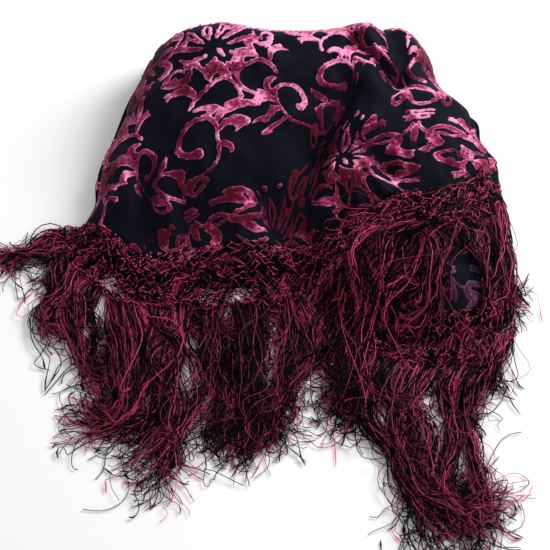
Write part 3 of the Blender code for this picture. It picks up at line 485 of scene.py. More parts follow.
class Heap:
    """The outer surface of the dropped shawl, over the plane it lies on."""

    GROOVE_SHARP = 6  # power that keeps the grooves between the layers narrow
    GROOVE_FADE = 0.5  # how far over the hidden layers the last groove fades, in layers
    HALVINGS = 22
    EVENED_EACH = 40  # angles for each round of evening out the top layer's edge

    def __init__(self) -> None:
        """Collects the folds, and draws the small unevenness of the cloth."""
        self.folds = LARGE_FOLDS + FINE_FOLDS
        self.broad = Ripple(3, 0.052)
        self.small = Ripple(4, 0.019)

    def outline(self, angle: Array, column: str) -> Array:
        """One column of the outline table at these angles."""
        return smooth_rows(
            angle, [row.angle for row in OUTLINE], [getattr(row, column) for row in OUTLINE], 360
        )

    def fold_height(self, x: Array, y: Array) -> Array:
        """Height that the folds and the small unevenness add.

        Args:
            x: places in plan.
            y: their other coordinate.

        Returns:
            The height at each place.
        """
        total = UNEVEN_BROAD * self.broad.at(x, y) + UNEVEN_SMALL * self.small.at(x, y)
        for f in self.folds:
            ax, ay = f.x1 - f.x0, f.y1 - f.y0
            u = np.clip(((x - f.x0) * ax + (y - f.y0) * ay) / (ax * ax + ay * ay), 0, 1)
            away = np.hypot(x - f.x0 - u * ax, y - f.y0 - u * ay)
            total += f.rise * np.exp(-((away / (f.width0 + u * (f.width1 - f.width0))) ** 2))
        return total

    def painted_shade(self, x: Array, y: Array) -> Array:
        """Painted shade: how deep places lie in the troughs, from 0 to 1, which darkens the pile there."""
        return np.clip((-self.fold_height(x, y) - PAINTED_SHADE_FROM) / PAINTED_SHADE_DEPTH, 0, 1)

    def taken_in(self, x: Array, y: Array) -> Array:
        """How far the cloth is drawn into the troughs on either side, in plan.

        Args:
            x: places in plan.
            y: their other coordinate.

        Returns:
            The two parts of the shift of the flat cloth.
        """
        total = np.zeros((*x.shape, 2))
        for f in self.folds:
            if f.rise > TAKEN_IN_FROM:
                continue
            ax, ay = f.x1 - f.x0, f.y1 - f.y0
            long = math.hypot(ax, ay)
            side = ((x - f.x0) * -ay + (y - f.y0) * ax) / long
            along = ((x - f.x0) * ax + (y - f.y0) * ay) / long
            held = ease(along / TAKEN_IN_END + 1) * ease((long - along) / TAKEN_IN_END + 1)
            held *= np.exp(-((side / TAKEN_IN_REACH) ** 2))
            drawn = -f.rise * TAKEN_IN_SHARE * held * np.tanh(side / (TAKEN_IN_NEAR * f.width0))
            total += drawn[..., None] * np.array([-ay, ax]) / long
        return total

    def height(self, x: Array, y: Array) -> Array:
        """Outer surface over places in plan.

        Args:
            x: places in plan.
            y: their other coordinate.

        Returns:
            The height at each place, 0 past the foot.
        """
        dx, dy = x - HEAP_X, y - HEAP_Y
        angle = np.degrees(np.arctan2(dy, dx))
        share = np.hypot(dx, dy) / self.outline(angle, "reach")
        side = np.clip(1 - share ** self.outline(angle, "round_out"), 0, 1)
        crown = smooth_rows(y, [row.y for row in CROWN], [row.height for row in CROWN])
        full = crown * (1 - SIDE_FALL * ((x - HEAP_X) / SIDE_REACH) ** 2) + self.fold_height(x, y)
        return full * side ** (1 / self.outline(angle, "fall"))

    def plan(self, angle: Array, share: Array) -> tuple[Array, Array]:
        """Place in plan, by angle and share of the way to the foot."""
        reach = self.outline(angle, "reach") * share
        return HEAP_X + reach * np.cos(np.radians(angle)), HEAP_Y + reach * np.sin(np.radians(angle))

    def point(self, angle: Array, share: Array) -> Array:
        """Point of the outer surface, drawn in where two hidden layers meet.

        Args:
            angle: round the heap's middle, in degrees.
            share: of the way to the foot.

        Returns:
            The points.
        """
        x, y = self.plan(angle, share)
        z = self.height(x, y)
        level = z / self.outline(angle, "roll_z") * HIDDEN_LAYERS
        groove = np.where(
            level < HIDDEN_LAYERS,
            np.abs(np.cos(np.pi * level)) ** self.GROOVE_SHARP,
            np.exp(-(((level - HIDDEN_LAYERS) / self.GROOVE_FADE) ** 2)),
        )
        layer = np.floor(np.minimum(level, HIDDEN_LAYERS))
        wander = np.sin(np.radians(angle) * (2 + layer) + 1.3 * layer) * (level < HIDDEN_LAYERS)
        out = self.outline(angle, "layered") * (LAYER_WANDER * wander * (1 - groove) - GROOVE_DEPTH * groove)
        return np.stack([x + out * np.cos(np.radians(angle)), y + out * np.sin(np.radians(angle)), z], -1)

    def share_at_height(self, angle: Array, z: Array) -> Array:
        """Finds where the heap's side comes down to a height.

        Args:
            angle: round the heap's middle, in degrees.
            z: the height at each angle.

        Returns:
            The share of the way to the foot.
        """
        low, high = np.full(angle.shape, 0.3), np.ones(angle.shape)
        for _ in range(self.HALVINGS):
            middle = (low + high) / 2
            above = self.height(*self.plan(angle, middle)) > z
            low, high = np.where(above, middle, low), np.where(above, high, middle)
        return (low + high) / 2

    def panel_edge(self, angle: Array) -> Array:
        """Finds where the top layer ends.

        Args:
            angle: angles evenly round the heap, in degrees.

        Returns:
            The share of the way to the foot.
        """
        rows = [(s.inner_x, s.inner_y) for s in FRONT_NET + RIGHT_NET]
        at = [np.degrees(np.arctan2(y - HEAP_Y, x - HEAP_X)) % 360 for x, y in rows]
        hem = smooth_rows(angle, at, [np.hypot(x - HEAP_X, y - HEAP_Y) for x, y in rows])
        hem = hem / self.outline(angle, "reach")
        sewn = (angle >= at[0]) & (angle <= at[-1])
        loose = self.share_at_height(angle, self.outline(angle, "roll_z") * HEM_OVER_ROLL)
        edge = np.where(sewn, hem, loose)
        for _ in range(len(angle) // self.EVENED_EACH):
            edge = (np.roll(edge, 1) + 2 * edge + np.roll(edge, -1)) / 4
        return np.where(sewn, np.minimum(edge, hem), edge)


def grid_normals(points: Array, wrap: bool = False) -> Array:
    """Unit normals of a grid of points.

    Args:
        points: rows by columns by 3.
        wrap: whether the last column meets the first.

    Returns:
        A normal for each point.
    """
    across = np.gradient(points, axis=0)
    if wrap:
        along = np.roll(points, -1, axis=1) - np.roll(points, 1, axis=1)
    else:
        along = np.gradient(points, axis=1)
    normal = np.cross(across, along)
    return normal / np.maximum(np.linalg.norm(normal, axis=-1, keepdims=True), 1e-12)


def grid_quads(rows: int, columns: int, wrap: bool = False, first: int = 0, flip: bool = False) -> Array:
    """Quads of a grid of points that are numbered row by row.

    Args:
        rows: rows of points.
        columns: columns of points.
        wrap: whether the last column meets the first.
        first: number of the first point.
        flip: whether the quads face the other way.

    Returns:
        Four point numbers a quad.
    """
    i = np.arange(rows - 1)[:, None]
    j = np.arange(columns if wrap else columns - 1)[None, :]
    k = (j + 1) % columns
    quads = np.stack([i * columns + j, (i + 1) * columns + j, (i + 1) * columns + k, i * columns + k], -1)
    quads = quads.reshape(-1, 4) + first
    return quads[:, ::-1] if flip else quads


def make_piece(
    name: str,
    points: Array,
    faces: Sequence[Array],
    marks: dict[str, Array] | None = None,
) -> bpy.types.Object:
    """Makes one smooth-shaded object from arrays.

    Args:
        name: the object's name.
        points: its points, before the shift into the frame.
        faces: arrays of faces, each with one number of corners.
        marks: named values at the points.

    Returns:
        The object.
    """
    mesh = bpy.data.meshes.new(name)
    points = np.asarray(points, float).reshape(-1, 3) + np.array(SHIFT)
    points[:, 2] = np.maximum(points[:, 2], 0.0)
    faces = [f for f in faces if len(f)]
    loops = np.concatenate([f.ravel() for f in faces]).astype(np.int32)
    sizes = np.concatenate([np.full(len(f), f.shape[1]) for f in faces])
    starts = np.concatenate([[0], np.cumsum(sizes)[:-1]]).astype(np.int32)
    mesh.vertices.add(len(points))
    mesh.vertices.foreach_set("co", points.astype(np.float32).ravel())
    mesh.loops.add(len(loops))
    mesh.loops.foreach_set("vertex_index", loops)
    mesh.polygons.add(len(sizes))
    mesh.polygons.foreach_set("loop_start", starts)
    mesh.update(calc_edges=True)
    for mark, values in (marks or {}).items():
        layer = mesh.attributes.new(mark, "FLOAT", "POINT")
        layer.data.foreach_set("value", np.asarray(values, np.float32).ravel())
    mesh.shade_smooth()
    piece = bpy.data.objects.new(name, mesh)
    bpy.context.scene.collection.objects.link(piece)
    return piece


def shell(outer: Array, thickness: float, wrap: bool = False) -> tuple[Array, Array]:
    """A thin closed wall under a grid of points.

    Args:
        outer: rows by columns by 3.
        thickness: of the wall.
        wrap: whether the last column meets the first.

    Returns:
        The points and the quads.
    """
    rows, columns = outer.shape[:2]
    inner = outer - thickness * grid_normals(outer, wrap)
    count = rows * columns
    quads = [grid_quads(rows, columns, wrap), grid_quads(rows, columns, wrap, count, True)]
    if wrap:
        rims = [(0, np.arange(columns)), (rows - 1, np.arange(columns)[::-1])]
        rims = [np.append(r * columns + j, r * columns + j[0]) for r, j in rims]
    else:
        top = np.arange(columns)
        right = np.arange(1, rows) * columns + columns - 1
        bottom = (rows - 1) * columns + np.arange(columns - 2, -1, -1)
        left = np.arange(rows - 2, -1, -1) * columns
        rims = [np.concatenate([top, right, bottom, left])]
    for rim in rims:
        quads.append(np.stack([rim[:-1], rim[1:], rim[1:] + count, rim[:-1] + count], -1))
    return np.concatenate([outer.reshape(-1, 3), inner.reshape(-1, 3)]), np.concatenate(quads)


class Scrollwork:
    """The velvet's pattern: paired scrolls, palmettes with a scalloped frill, and dots, in a half drop.

    It is kept as a height map of signed distances to the pile's edge, over one repeat.
    """

    CELL = 0.5  # of the height map, in millimetres
    STEPS = 22  # of a stroke's middle line
    MARGIN = 9.0  # how far round a line the map is worked out
    BARE = -50.0
    MM = 1000  # millimetres in a metre

    def __init__(self) -> None:
        """Draws the repeat."""
        self.columns, self.rows = round(REPEAT_X / self.CELL), round(REPEAT_Y / self.CELL)
        self.inside = np.full((self.columns, self.rows), self.BARE)
        for strokes, middle in ((SCROLL_PAIR, (0.0, 0.0)), (PALMETTE, (REPEAT_X / 2, REPEAT_Y / 2))):
            for stroke in strokes:
                for part in (stroke, *self.side_lobes(stroke)):
                    for mirror in (1, -1):
                        self.lay(*self.line(part), middle, mirror)
        for mirror in (1, -1):
            self.lay(*self.frill(), middle, mirror)
            for stroke in SLITS:
                self.lay(*self.line(stroke), middle, mirror, cut=True)
        self.inside = np.pad(self.inside, ((0, 1), (0, 1)), mode="wrap")

    def line(self, stroke: Stroke) -> tuple[Array, Array, Array]:
        """Points of a stroke's middle line.

        Args:
            stroke: the stroke.

        Returns:
            The points' two coordinates, and the half width at each.
        """
        t = (np.arange(self.STEPS) + 0.5) / self.STEPS
        heading = np.radians(stroke.heading + stroke.turn * t**stroke.bias)
        x = stroke.x + np.concatenate([[0], np.cumsum(np.cos(heading))]) * stroke.length / self.STEPS
        y = stroke.y + np.concatenate([[0], np.cumsum(np.sin(heading))]) * stroke.length / self.STEPS
        u = np.linspace(0, 1, self.STEPS + 1)
        ends = stroke.wide0 * (1 - u) * (1 - 2 * u) + stroke.wide2 * u * (2 * u - 1)
        return x, y, STROKE_FULLER * (ends + stroke.wide1 * 4 * u * (1 - u))

    def side_lobes(self, stroke: Stroke) -> list[Stroke]:
        """Small lobes along the outer side of a leaf, and the round bud at the end of a full stroke.

        Args:
            stroke: the leaf or stem.

        Returns:
            The lobes and the bud, as strokes of their own.
        """
        x, y, wide = self.line(stroke)
        side = -1 if stroke.turn > 0 else 1
        lobes = []
        for k in range(stroke.lobes):
            u = (k + 0.6) / (stroke.lobes + 0.3)
            n = round(u * self.STEPS)
            heading = stroke.heading + stroke.turn * u**stroke.bias + side * LOBE_LEAN
            length = LOBE_LONGER * wide[n] + LOBE_LONG
            lobes.append(Stroke(x[n], y[n], heading, -side * LOBE_TURN, 1.0, length, *LOBE_WIDE))
        if stroke.wide2 > BUD_FROM and stroke.length > 1:
            bud = stroke.wide2 * BUD_FULLER
            lobes.append(Stroke(x[-1], y[-1], 0, 0, 1.0, 0.1, bud, bud, bud))
        return lobes

    def frill(self) -> tuple[Array, Array, Array]:
        """Points of the scalloped frill's middle line, on one side.

        Returns:
            The points' two coordinates, and the half width at each.
        """
        u = np.linspace(0, 1, self.STEPS * 4)
        angle = -np.pi / 2 + FRILL_ROUND * u
        radius = FRILL_RADIUS + FRILL_WAVE * (np.abs(np.cos(angle * FRILL_SCALLOPS)) - 0.5)
        return radius * np.cos(angle), 2 + radius * np.sin(angle), FRILL_WIDE * (1 + 0.5 * u**4)

    def cells(self, places: Array) -> Array:
        """Numbers of the cells that a line could reach, by one coordinate of its points."""
        low, high = places.min() - self.MARGIN, places.max() + self.MARGIN
        return np.arange(int(low / self.CELL) - 1, int(high / self.CELL) + 1)

    def lay(
        self, x: Array, y: Array, wide: Array, middle: tuple[float, float], mirror: int, cut: bool = False
    ) -> None:
        """Lays a line of pile on the repeat, or cuts one out of it.

        Args:
            x: the line's points across the repeat.
            y: its points along the repeat.
            wide: its half width at each.
            middle: where the motif's middle is.
            mirror: 1, or -1 for the mirror image.
            cut: whether the line is bare cloth.
        """
        x, y = middle[0] + mirror * x, middle[1] + y
        i, j = self.cells(x), self.cells(y)
        at_x, at_y = i[:, None] * self.CELL, j[None, :] * self.CELL
        best = np.full((len(i), len(j)), self.BARE)
        for k in range(len(x) - 1):
            ax, ay = x[k + 1] - x[k], y[k + 1] - y[k]
            s = np.clip(((at_x - x[k]) * ax + (at_y - y[k]) * ay) / (ax * ax + ay * ay + 1e-9), 0, 1)
            far = np.hypot(at_x - x[k] - s * ax, at_y - y[k] - s * ay)
            best = np.maximum(best, wide[k] + s * (wide[k + 1] - wide[k]) - far)
        spot = np.ix_(i % self.columns, j % self.rows)
        before = self.inside[spot]
        self.inside[spot] = np.minimum(before, -best) if cut else np.maximum(before, best)

    def at(self, u: Array, v: Array) -> Array:
        """Reads the pattern, all in metres.

        Args:
            u: places across the flat cloth.
            v: places along it.

        Returns:
            The distance inside the pile's edge.
        """
        i = (u * self.MM / self.CELL) % (self.inside.shape[0] - 1)
        j = (v * self.MM / self.CELL) % (self.inside.shape[1] - 1)
        return read_table(self.inside, i, j) / self.MM


@dataclass
class ClothPatch:
    """A piece of the burnt-out velvet: its chiffon ground and the raised pile on it."""

    name: str
    points: Array
    flat: Array
    scrollwork: Scrollwork
    # painted shade in the troughs, from 0 to 1, at each point of the grid
    painted_shade: Array
    wrap: bool = False
    ground_wall: float = 0.0009
    pile_high: float = 0.0015
    pile_round: float = 0.0019
    pile_edge: float = 0.22
    # how far in from the pile's cut edge its painted highlight reaches
    rim_highlight_reach: float = 0.0022
    sink: float = 0.0004
    drift: float = 0.0022
    rough_edge: float = 0.00035
    edge_wander: Ripple = field(default_factory=lambda: Ripple(11, 0.006))
    cloth_wander: Ripple = field(default_factory=lambda: Ripple(12, 0.070))

    def pile_inside(self) -> Array:
        """Distance inside the pile's edge.

        Returns:
            The distance at each of the grid's points.
        """
        u, v = self.flat[..., 0], self.flat[..., 1]
        drift = self.drift * self.cloth_wander.at(u, v)
        return self.scrollwork.at(u + drift, v - drift) + self.rough_edge * self.edge_wander.at(u, v)

    def ground(self, every: int) -> bpy.types.Object:
        """Makes the chiffon ground as a thin closed wall.

        Args:
            every: how many steps of the grid lie between its points.

        Returns:
            The object.
        """
        outer = self.points[::every, ::every]
        points, quads = shell(outer, self.ground_wall, self.wrap)
        return make_piece(self.name + "_ground", points, [quads])

    def to_edges(self, inside: Array) -> tuple[Array, Array, Array]:
        """Draws the grid's points on to the edges of the scrollwork near them.

        Args:
            inside: distance inside the pile's edge at each point.

        Returns:
            The points' new places on the grid, and their distance inside the edge.
        """
        rows, columns = inside.shape
        gi, gj = np.gradient(inside)
        steep = gi * gi + gj * gj + 1e-16
        move_i, move_j = -inside * gi / steep, -inside * gj / steep
        at_edge = (np.abs(move_i) < 0.5) & (np.abs(move_j) < 0.5)
        i, j = np.meshgrid(np.arange(rows, dtype=float), np.arange(columns, dtype=float), indexing="ij")
        i = np.clip(np.where(at_edge, i + move_i, i), 0, rows - 1)
        j = np.clip(np.where(at_edge, j + move_j, j), 0, columns - 1)
        return i, j, np.where(at_edge, 0.0, inside)

    def pile_faces(self, inside: Array, depth: Array) -> tuple[Array, Array]:
        """Chooses the faces of the grid that carry pile.

        Args:
            inside: distance inside the pile's edge at each point, before the points were moved.
            depth: the same after.

        Returns:
            The quads, and the triangles that fill half a quad along the edges.
        """
        rows, columns = inside.shape
        number = np.arange(rows * columns).reshape(rows, columns)
        corners = [number[:-1, :-1], number[1:, :-1], number[1:, 1:], number[:-1, 1:]]
        held = (depth >= 0).ravel()
        firm = (inside > 0).ravel()
        kept = [held[c] for c in corners]
        count = sum(k.astype(int) for k in kept)
        middle = sum(inside.ravel()[c] for c in corners) > 0
        quads = np.stack([c[(count == 4) & middle] for c in corners], -1)
        tris = []
        for gone in range(4):
            rest = [c for k, c in enumerate(corners) if k != gone]
            some = sum(firm[c].astype(int) for c in rest) > 0
            chosen = (count == 3) & ~kept[gone] & some
            tris.append(np.stack([c[chosen] for c in rest], -1))
        return quads, np.concatenate(tris)

    def pile(self) -> bpy.types.Object:
        """Makes the raised pile, rounded down to a skirt along its edges.

        Returns:
            The object.
        """
        inside = self.pile_inside()
        i, j, depth = self.to_edges(inside)
        base = read_table(self.points, i, j).reshape(-1, 3)
        normal = read_table(grid_normals(self.points, self.wrap), i, j).reshape(-1, 3)
        round_off = np.clip(depth / self.pile_round, 0, 1)
        high = self.pile_high * (self.pile_edge + (1 - self.pile_edge) * np.sqrt(1 - (1 - round_off) ** 2))
        quads, tris = self.pile_faces(inside, depth)
        edges = [f[:, [k, (k + 1) % f.shape[1]]] for f in (quads, tris) for k in range(f.shape[1])]
        edges = np.concatenate(edges)
        total = inside.size
        key, back = edges[:, 0] * total + edges[:, 1], edges[:, 1] * total + edges[:, 0]
        rim = edges[~np.isin(key, back)]
        on_rim = np.unique(rim)
        lowered = np.full(total, -1)
        lowered[on_rim] = total + np.arange(len(on_rim))
        skirt = np.stack([rim[:, 1], rim[:, 0], lowered[rim[:, 0]], lowered[rim[:, 1]]], -1)
        top = base + high.reshape(-1, 1) * normal
        points = np.concatenate([top, base[on_rim] - self.sink * normal[on_rim]])
        deep = np.concatenate([np.clip(depth.ravel(), 0, 1), np.zeros(len(on_rim))])
        # painted sheen: how far each point faces up and towards the back, where the pile is painted lighter
        painted_sheen_facing = normal @ np.array(PAINTED_SHEEN_WAY)
        painted_sheen_facing = np.concatenate([painted_sheen_facing, painted_sheen_facing[on_rim]])
        # painted shade in the troughs
        painted_shade = np.concatenate([self.painted_shade.ravel(), self.painted_shade.ravel()[on_rim]])
        used = np.unique(np.concatenate([quads.ravel(), tris.ravel(), skirt.ravel()]))
        renumber = np.full(len(points), -1)
        renumber[used] = np.arange(len(used))
        # rim: painted highlight near the pile's cut edge
        marks = {
            "rim": np.clip(deep[used] / self.rim_highlight_reach, 0, 1),
            "painted_sheen_facing": painted_sheen_facing[used],
            "painted_shade": painted_shade[used],
        }
        faces = [renumber[quads], renumber[tris], renumber[skirt]]
        return make_piece(self.name + "_pile", points[used], faces, marks)


@dataclass
class TopPanel:
    """The layer that shows, over the whole heap down to its hem."""

    heap: Heap
    scrollwork: Scrollwork
    cells: int = 384
    turn_deg: float = -22.0
    offset_u: float = -0.005
    offset_v: float = -0.025
    angles: int = 720
    steps: int = 120
    sink: float = 0.0012

    def square(self) -> tuple[Array, Array]:
        """An even square grid drawn out to a disc.

        Returns:
            The radius of each point from 0 to 1, and its angle in degrees.
        """
        a, b = np.meshgrid(*[np.linspace(-1, 1, self.cells + 1)] * 2, indexing="ij")
        wide = np.abs(a) > np.abs(b)
        safe_a, safe_b = np.where(a == 0, 1e-9, a), np.where(b == 0, 1e-9, b)
        radius = np.where(wide, a, b)
        way = np.where(wide, np.pi / 4 * b / safe_a, np.pi / 2 - np.pi / 4 * a / safe_b)
        x, y = radius * np.cos(way), radius * np.sin(way)
        return np.hypot(x, y), np.degrees(np.arctan2(y, x)) % 360

    def patch(self) -> ClothPatch:
        """Lays an even grid of the cloth over the heap.

        Returns:
            The patch, with its places on the flat cloth.
        """
        angle = np.arange(self.angles + 1) * 360.0 / self.angles
        edge = self.heap.panel_edge(angle[:-1])
        edge = np.append(edge, edge[0])
        share = np.linspace(0, 1, self.steps + 1)
        line = self.heap.point(angle[:, None] + 0 * share, edge[:, None] * share)
        down = np.cumsum(np.linalg.norm(np.diff(line, axis=1), axis=2), axis=1)
        arc = np.concatenate([np.zeros((len(angle), 1)), down], 1)
        even = np.stack([np.interp(share * a[-1], a, share) for a in arc])
        radius, way = self.square()
        at = read_table(even, way * self.angles / 360, radius * self.steps)
        points = self.heap.point(way, at * np.interp(way, angle, edge))
        length = radius * np.interp(way, angle, arc[:, -1])
        turned = np.radians(way + self.turn_deg)
        u, v = length * np.cos(turned) + self.offset_u, length * np.sin(turned) + self.offset_v
        flat = np.stack([u, v], -1) + self.heap.taken_in(points[..., 0], points[..., 1])
        points = points - self.sink * grid_normals(points)
        # painted shade: how deep each point lies in the troughs
        painted_shade = self.heap.painted_shade(points[..., 0], points[..., 1])
        return ClothPatch("top_panel", points, flat, self.scrollwork, painted_shade)


@dataclass
class LowerPanel:
    """The layer that shows below the right hem, with the pile showing through from its other side."""

    heap: Heap
    scrollwork: Scrollwork
    rows: int = 91
    columns: int = 111
    over_ground: float = 0.0002
    pile_high: float = 0.0006
    pile_round: float = 0.0012

    def patch(self) -> ClothPatch:
        """Lays the cloth between its table's edges.

        Returns:
            The patch.
        """
        at, share = np.linspace(0, 1, self.columns), np.linspace(0, 1, self.rows)[:, None]
        x, y = band_plan(LOWER_PANEL, at, share)
        points = np.stack([x, y, np.maximum(self.heap.height(x, y), 0.0) + self.over_ground], -1)
        flat = np.stack([x * 0.9 + y * 0.4, y - x * 0.3], -1)
        pile = {"pile_high": self.pile_high, "pile_round": self.pile_round}
        return ClothPatch("lower_panel", points, flat, self.scrollwork, 0 * x, **pile)


@dataclass
class FoldedLayers:
    """The hidden layers, whose rolled folds show below the top layer, and whose slope lies under the net."""

    heap: Heap
    scrollwork: Scrollwork
    angles: int = 620
    side_rows: int = 49
    tucked: float = 0.06
    sink_tucked: float = 0.0035
    sink: float = 0.0012
    sink_smooth: float = 0.0013
    row_step: float = 0.00025
    pattern_round: float = 0.2
    pattern_down: float = -1.1
    lid_rings: int = 14
    lid_drop: float = 0.0050
    lid_least: float = 0.004

    def surface(self) -> tuple[Array, Array]:
        """Rings from a little inside the top layer's edge to the foot.

        Returns:
            The rings' points, and their places on flat cloth.
        """
        angle = np.arange(self.angles) * 360.0 / self.angles
        edge = self.heap.panel_edge(angle)
        share = np.linspace(-self.tucked, 1, self.side_rows)[:, None]
        round_out, fall = self.heap.outline(angle, "round_out"), self.heap.outline(angle, "fall")
        top = (1 - edge**round_out) ** (1 / fall)
        level = top * (1 - np.maximum(share, 0))
        at = (1 - level**fall) ** (1 / round_out)
        at = np.where(share < 0, edge * (1 + share), at)
        points = self.heap.point(angle[None, :] + 0 * share, at)
        smooth = 1 - self.heap.outline(angle, "layered")
        sink = np.where(share < 0, self.sink_tucked, self.sink) + self.sink_smooth * smooth
        points = points - sink[..., None] * grid_normals(points, True)
        least = self.row_step * (self.side_rows - 1 - np.arange(self.side_rows))[:, None]
        points[..., 2] = np.maximum(points[..., 2], least)
        points[-1, :, 2] = 0.0
        down = np.linalg.norm(np.diff(points, axis=0), axis=2)
        down = np.concatenate([np.zeros((1, self.angles)), np.cumsum(down, axis=0)])
        flat = np.stack([0 * down + angle * np.pi / 180 * self.pattern_round, self.pattern_down * down], -1)
        return points, flat

    def core(self, points: Array) -> bpy.types.Object:
        """Closes the rings with a lid under the top layer and a flat underside.

        Args:
            points: the rings' points, from the top one down.

        Returns:
            The object.
        """
        rows, columns = points.shape[:2]
        count = rows * columns
        centre = np.array([HEAP_X, HEAP_Y, 0.0])
        lid, faces = [], [grid_quads(rows, columns, True)]
        ring_numbers = [np.arange(columns)]
        for k in range(1, self.lid_rings):
            ring = points[0] + (centre - points[0]) * (k / self.lid_rings)
            under = self.heap.height(ring[:, 0], ring[:, 1]) - self.lid_drop
            ring[:, 2] = np.maximum(under, self.lid_least)
            lid.append(ring)
            ring_numbers.append(count + (k - 1) * columns + np.arange(columns))
        for outer, inner in zip(ring_numbers[:-1], ring_numbers[1:]):
            faces.append(np.stack([inner, outer, np.roll(outer, -1), np.roll(inner, -1)], -1))
        peak = count + (self.lid_rings - 1) * columns
        last, base = ring_numbers[-1], (rows - 1) * columns + np.arange(columns)
        tris = [
            np.stack([np.full(columns, peak), last, np.roll(last, -1)], -1),
            np.stack([np.full(columns, peak + 1), np.roll(base, -1), base], -1),
        ]
        top = centre.copy()
        top[2] = self.heap.height(centre[:1], centre[1:2])[0] - self.lid_drop
        everything = np.concatenate([points.reshape(-1, 3), *lid, [top], [centre]])
        return make_piece("folded_core", everything, [np.concatenate(faces), np.concatenate(tris)])


def band_plan(stations: Sequence[Station], at: Array, share: Array) -> tuple[Array, Array]:
    """Places in plan on a band of cloth or net.

    Args:
        stations: the band's table.
        at: places along it, from 0 to 1.
        share: places across it, from its inner edge at 0 to its outer edge at 1.

    Returns:
        Their x and y.
    """
    knots = np.linspace(0, 1, len(stations))
    column = {n: smooth_rows(at, knots, [getattr(s, n) for s in stations]) for n in Station._fields}
    x = column["inner_x"] + share * (column["outer_x"] - column["inner_x"])
    y = column["inner_y"] + share * (column["outer_y"] - column["inner_y"])
    return x, y


def tubes(paths: Array, radii: Array, sides: int = 3) -> tuple[Array, list[Array]]:
    """Thin closed tubes along many paths.

    Args:
        paths: tubes by points by 3.
        radii: tubes by points.
        sides: of each tube.

    Returns:
        The points and the faces.
    """
    many, steps = paths.shape[:2]
    tangent = np.gradient(paths, axis=1)
    tangent /= np.maximum(np.linalg.norm(tangent, axis=2, keepdims=True), 1e-12)
    side = np.cross(tangent, np.array([0.0, 0.0, 1.0]))
    side /= np.maximum(np.linalg.norm(side, axis=2, keepdims=True), 1e-9)
    rise = np.cross(side, tangent)
    turn = np.pi / 2 + 2 * np.pi * np.arange(sides) / sides
    ring = side[:, :, None] * np.cos(turn)[:, None] + rise[:, :, None] * np.sin(turn)[:, None]
    points = paths[:, :, None] + radii[:, :, None, None] * ring
    number = np.arange(many * steps * sides).reshape(many, steps, sides)
    here, ahead = number[:, :-1], number[:, 1:]
    quads = np.stack([here, np.roll(here, -1, 2), np.roll(ahead, -1, 2), ahead], -1).reshape(-1, 4)
    caps = np.concatenate([number[:, 0, ::-1], number[:, -1, :]])
    return points.reshape(-1, 3), [quads, caps]


class Yarn(Enum):
    """The two colours of thread."""

    BLACK = "black"
    MAGENTA = "magenta"


@dataclass
class ThreadBundle:
    """Threads gathered into one piece."""

    points: list[Array] = field(default_factory=list)
    faces: list[Array] = field(default_factory=list)
    shades: list[Array] = field(default_factory=list)
    count: int = 0

    def add(self, paths: Array, radii: Array, shade: Array, sides: int = 3) -> None:
        """Adds tubes along paths.

        Args:
            paths: tubes by points by 3.
            radii: tubes by points.
            shade: each tube's own shade, from 0 to 1.
            sides: of each tube.
        """
        points, faces = tubes(paths, radii, sides)
        self.faces += [face + self.count for face in faces]
        self.points.append(points)
        self.shades.append(np.repeat(shade, paths.shape[1] * sides))
        self.count += len(points)

    def piece(self, name: str) -> bpy.types.Object:
        """Makes the object of this name."""
        marks = {"shade": np.concatenate(self.shades)}
        return make_piece(name, np.concatenate(self.points), self.faces, marks)


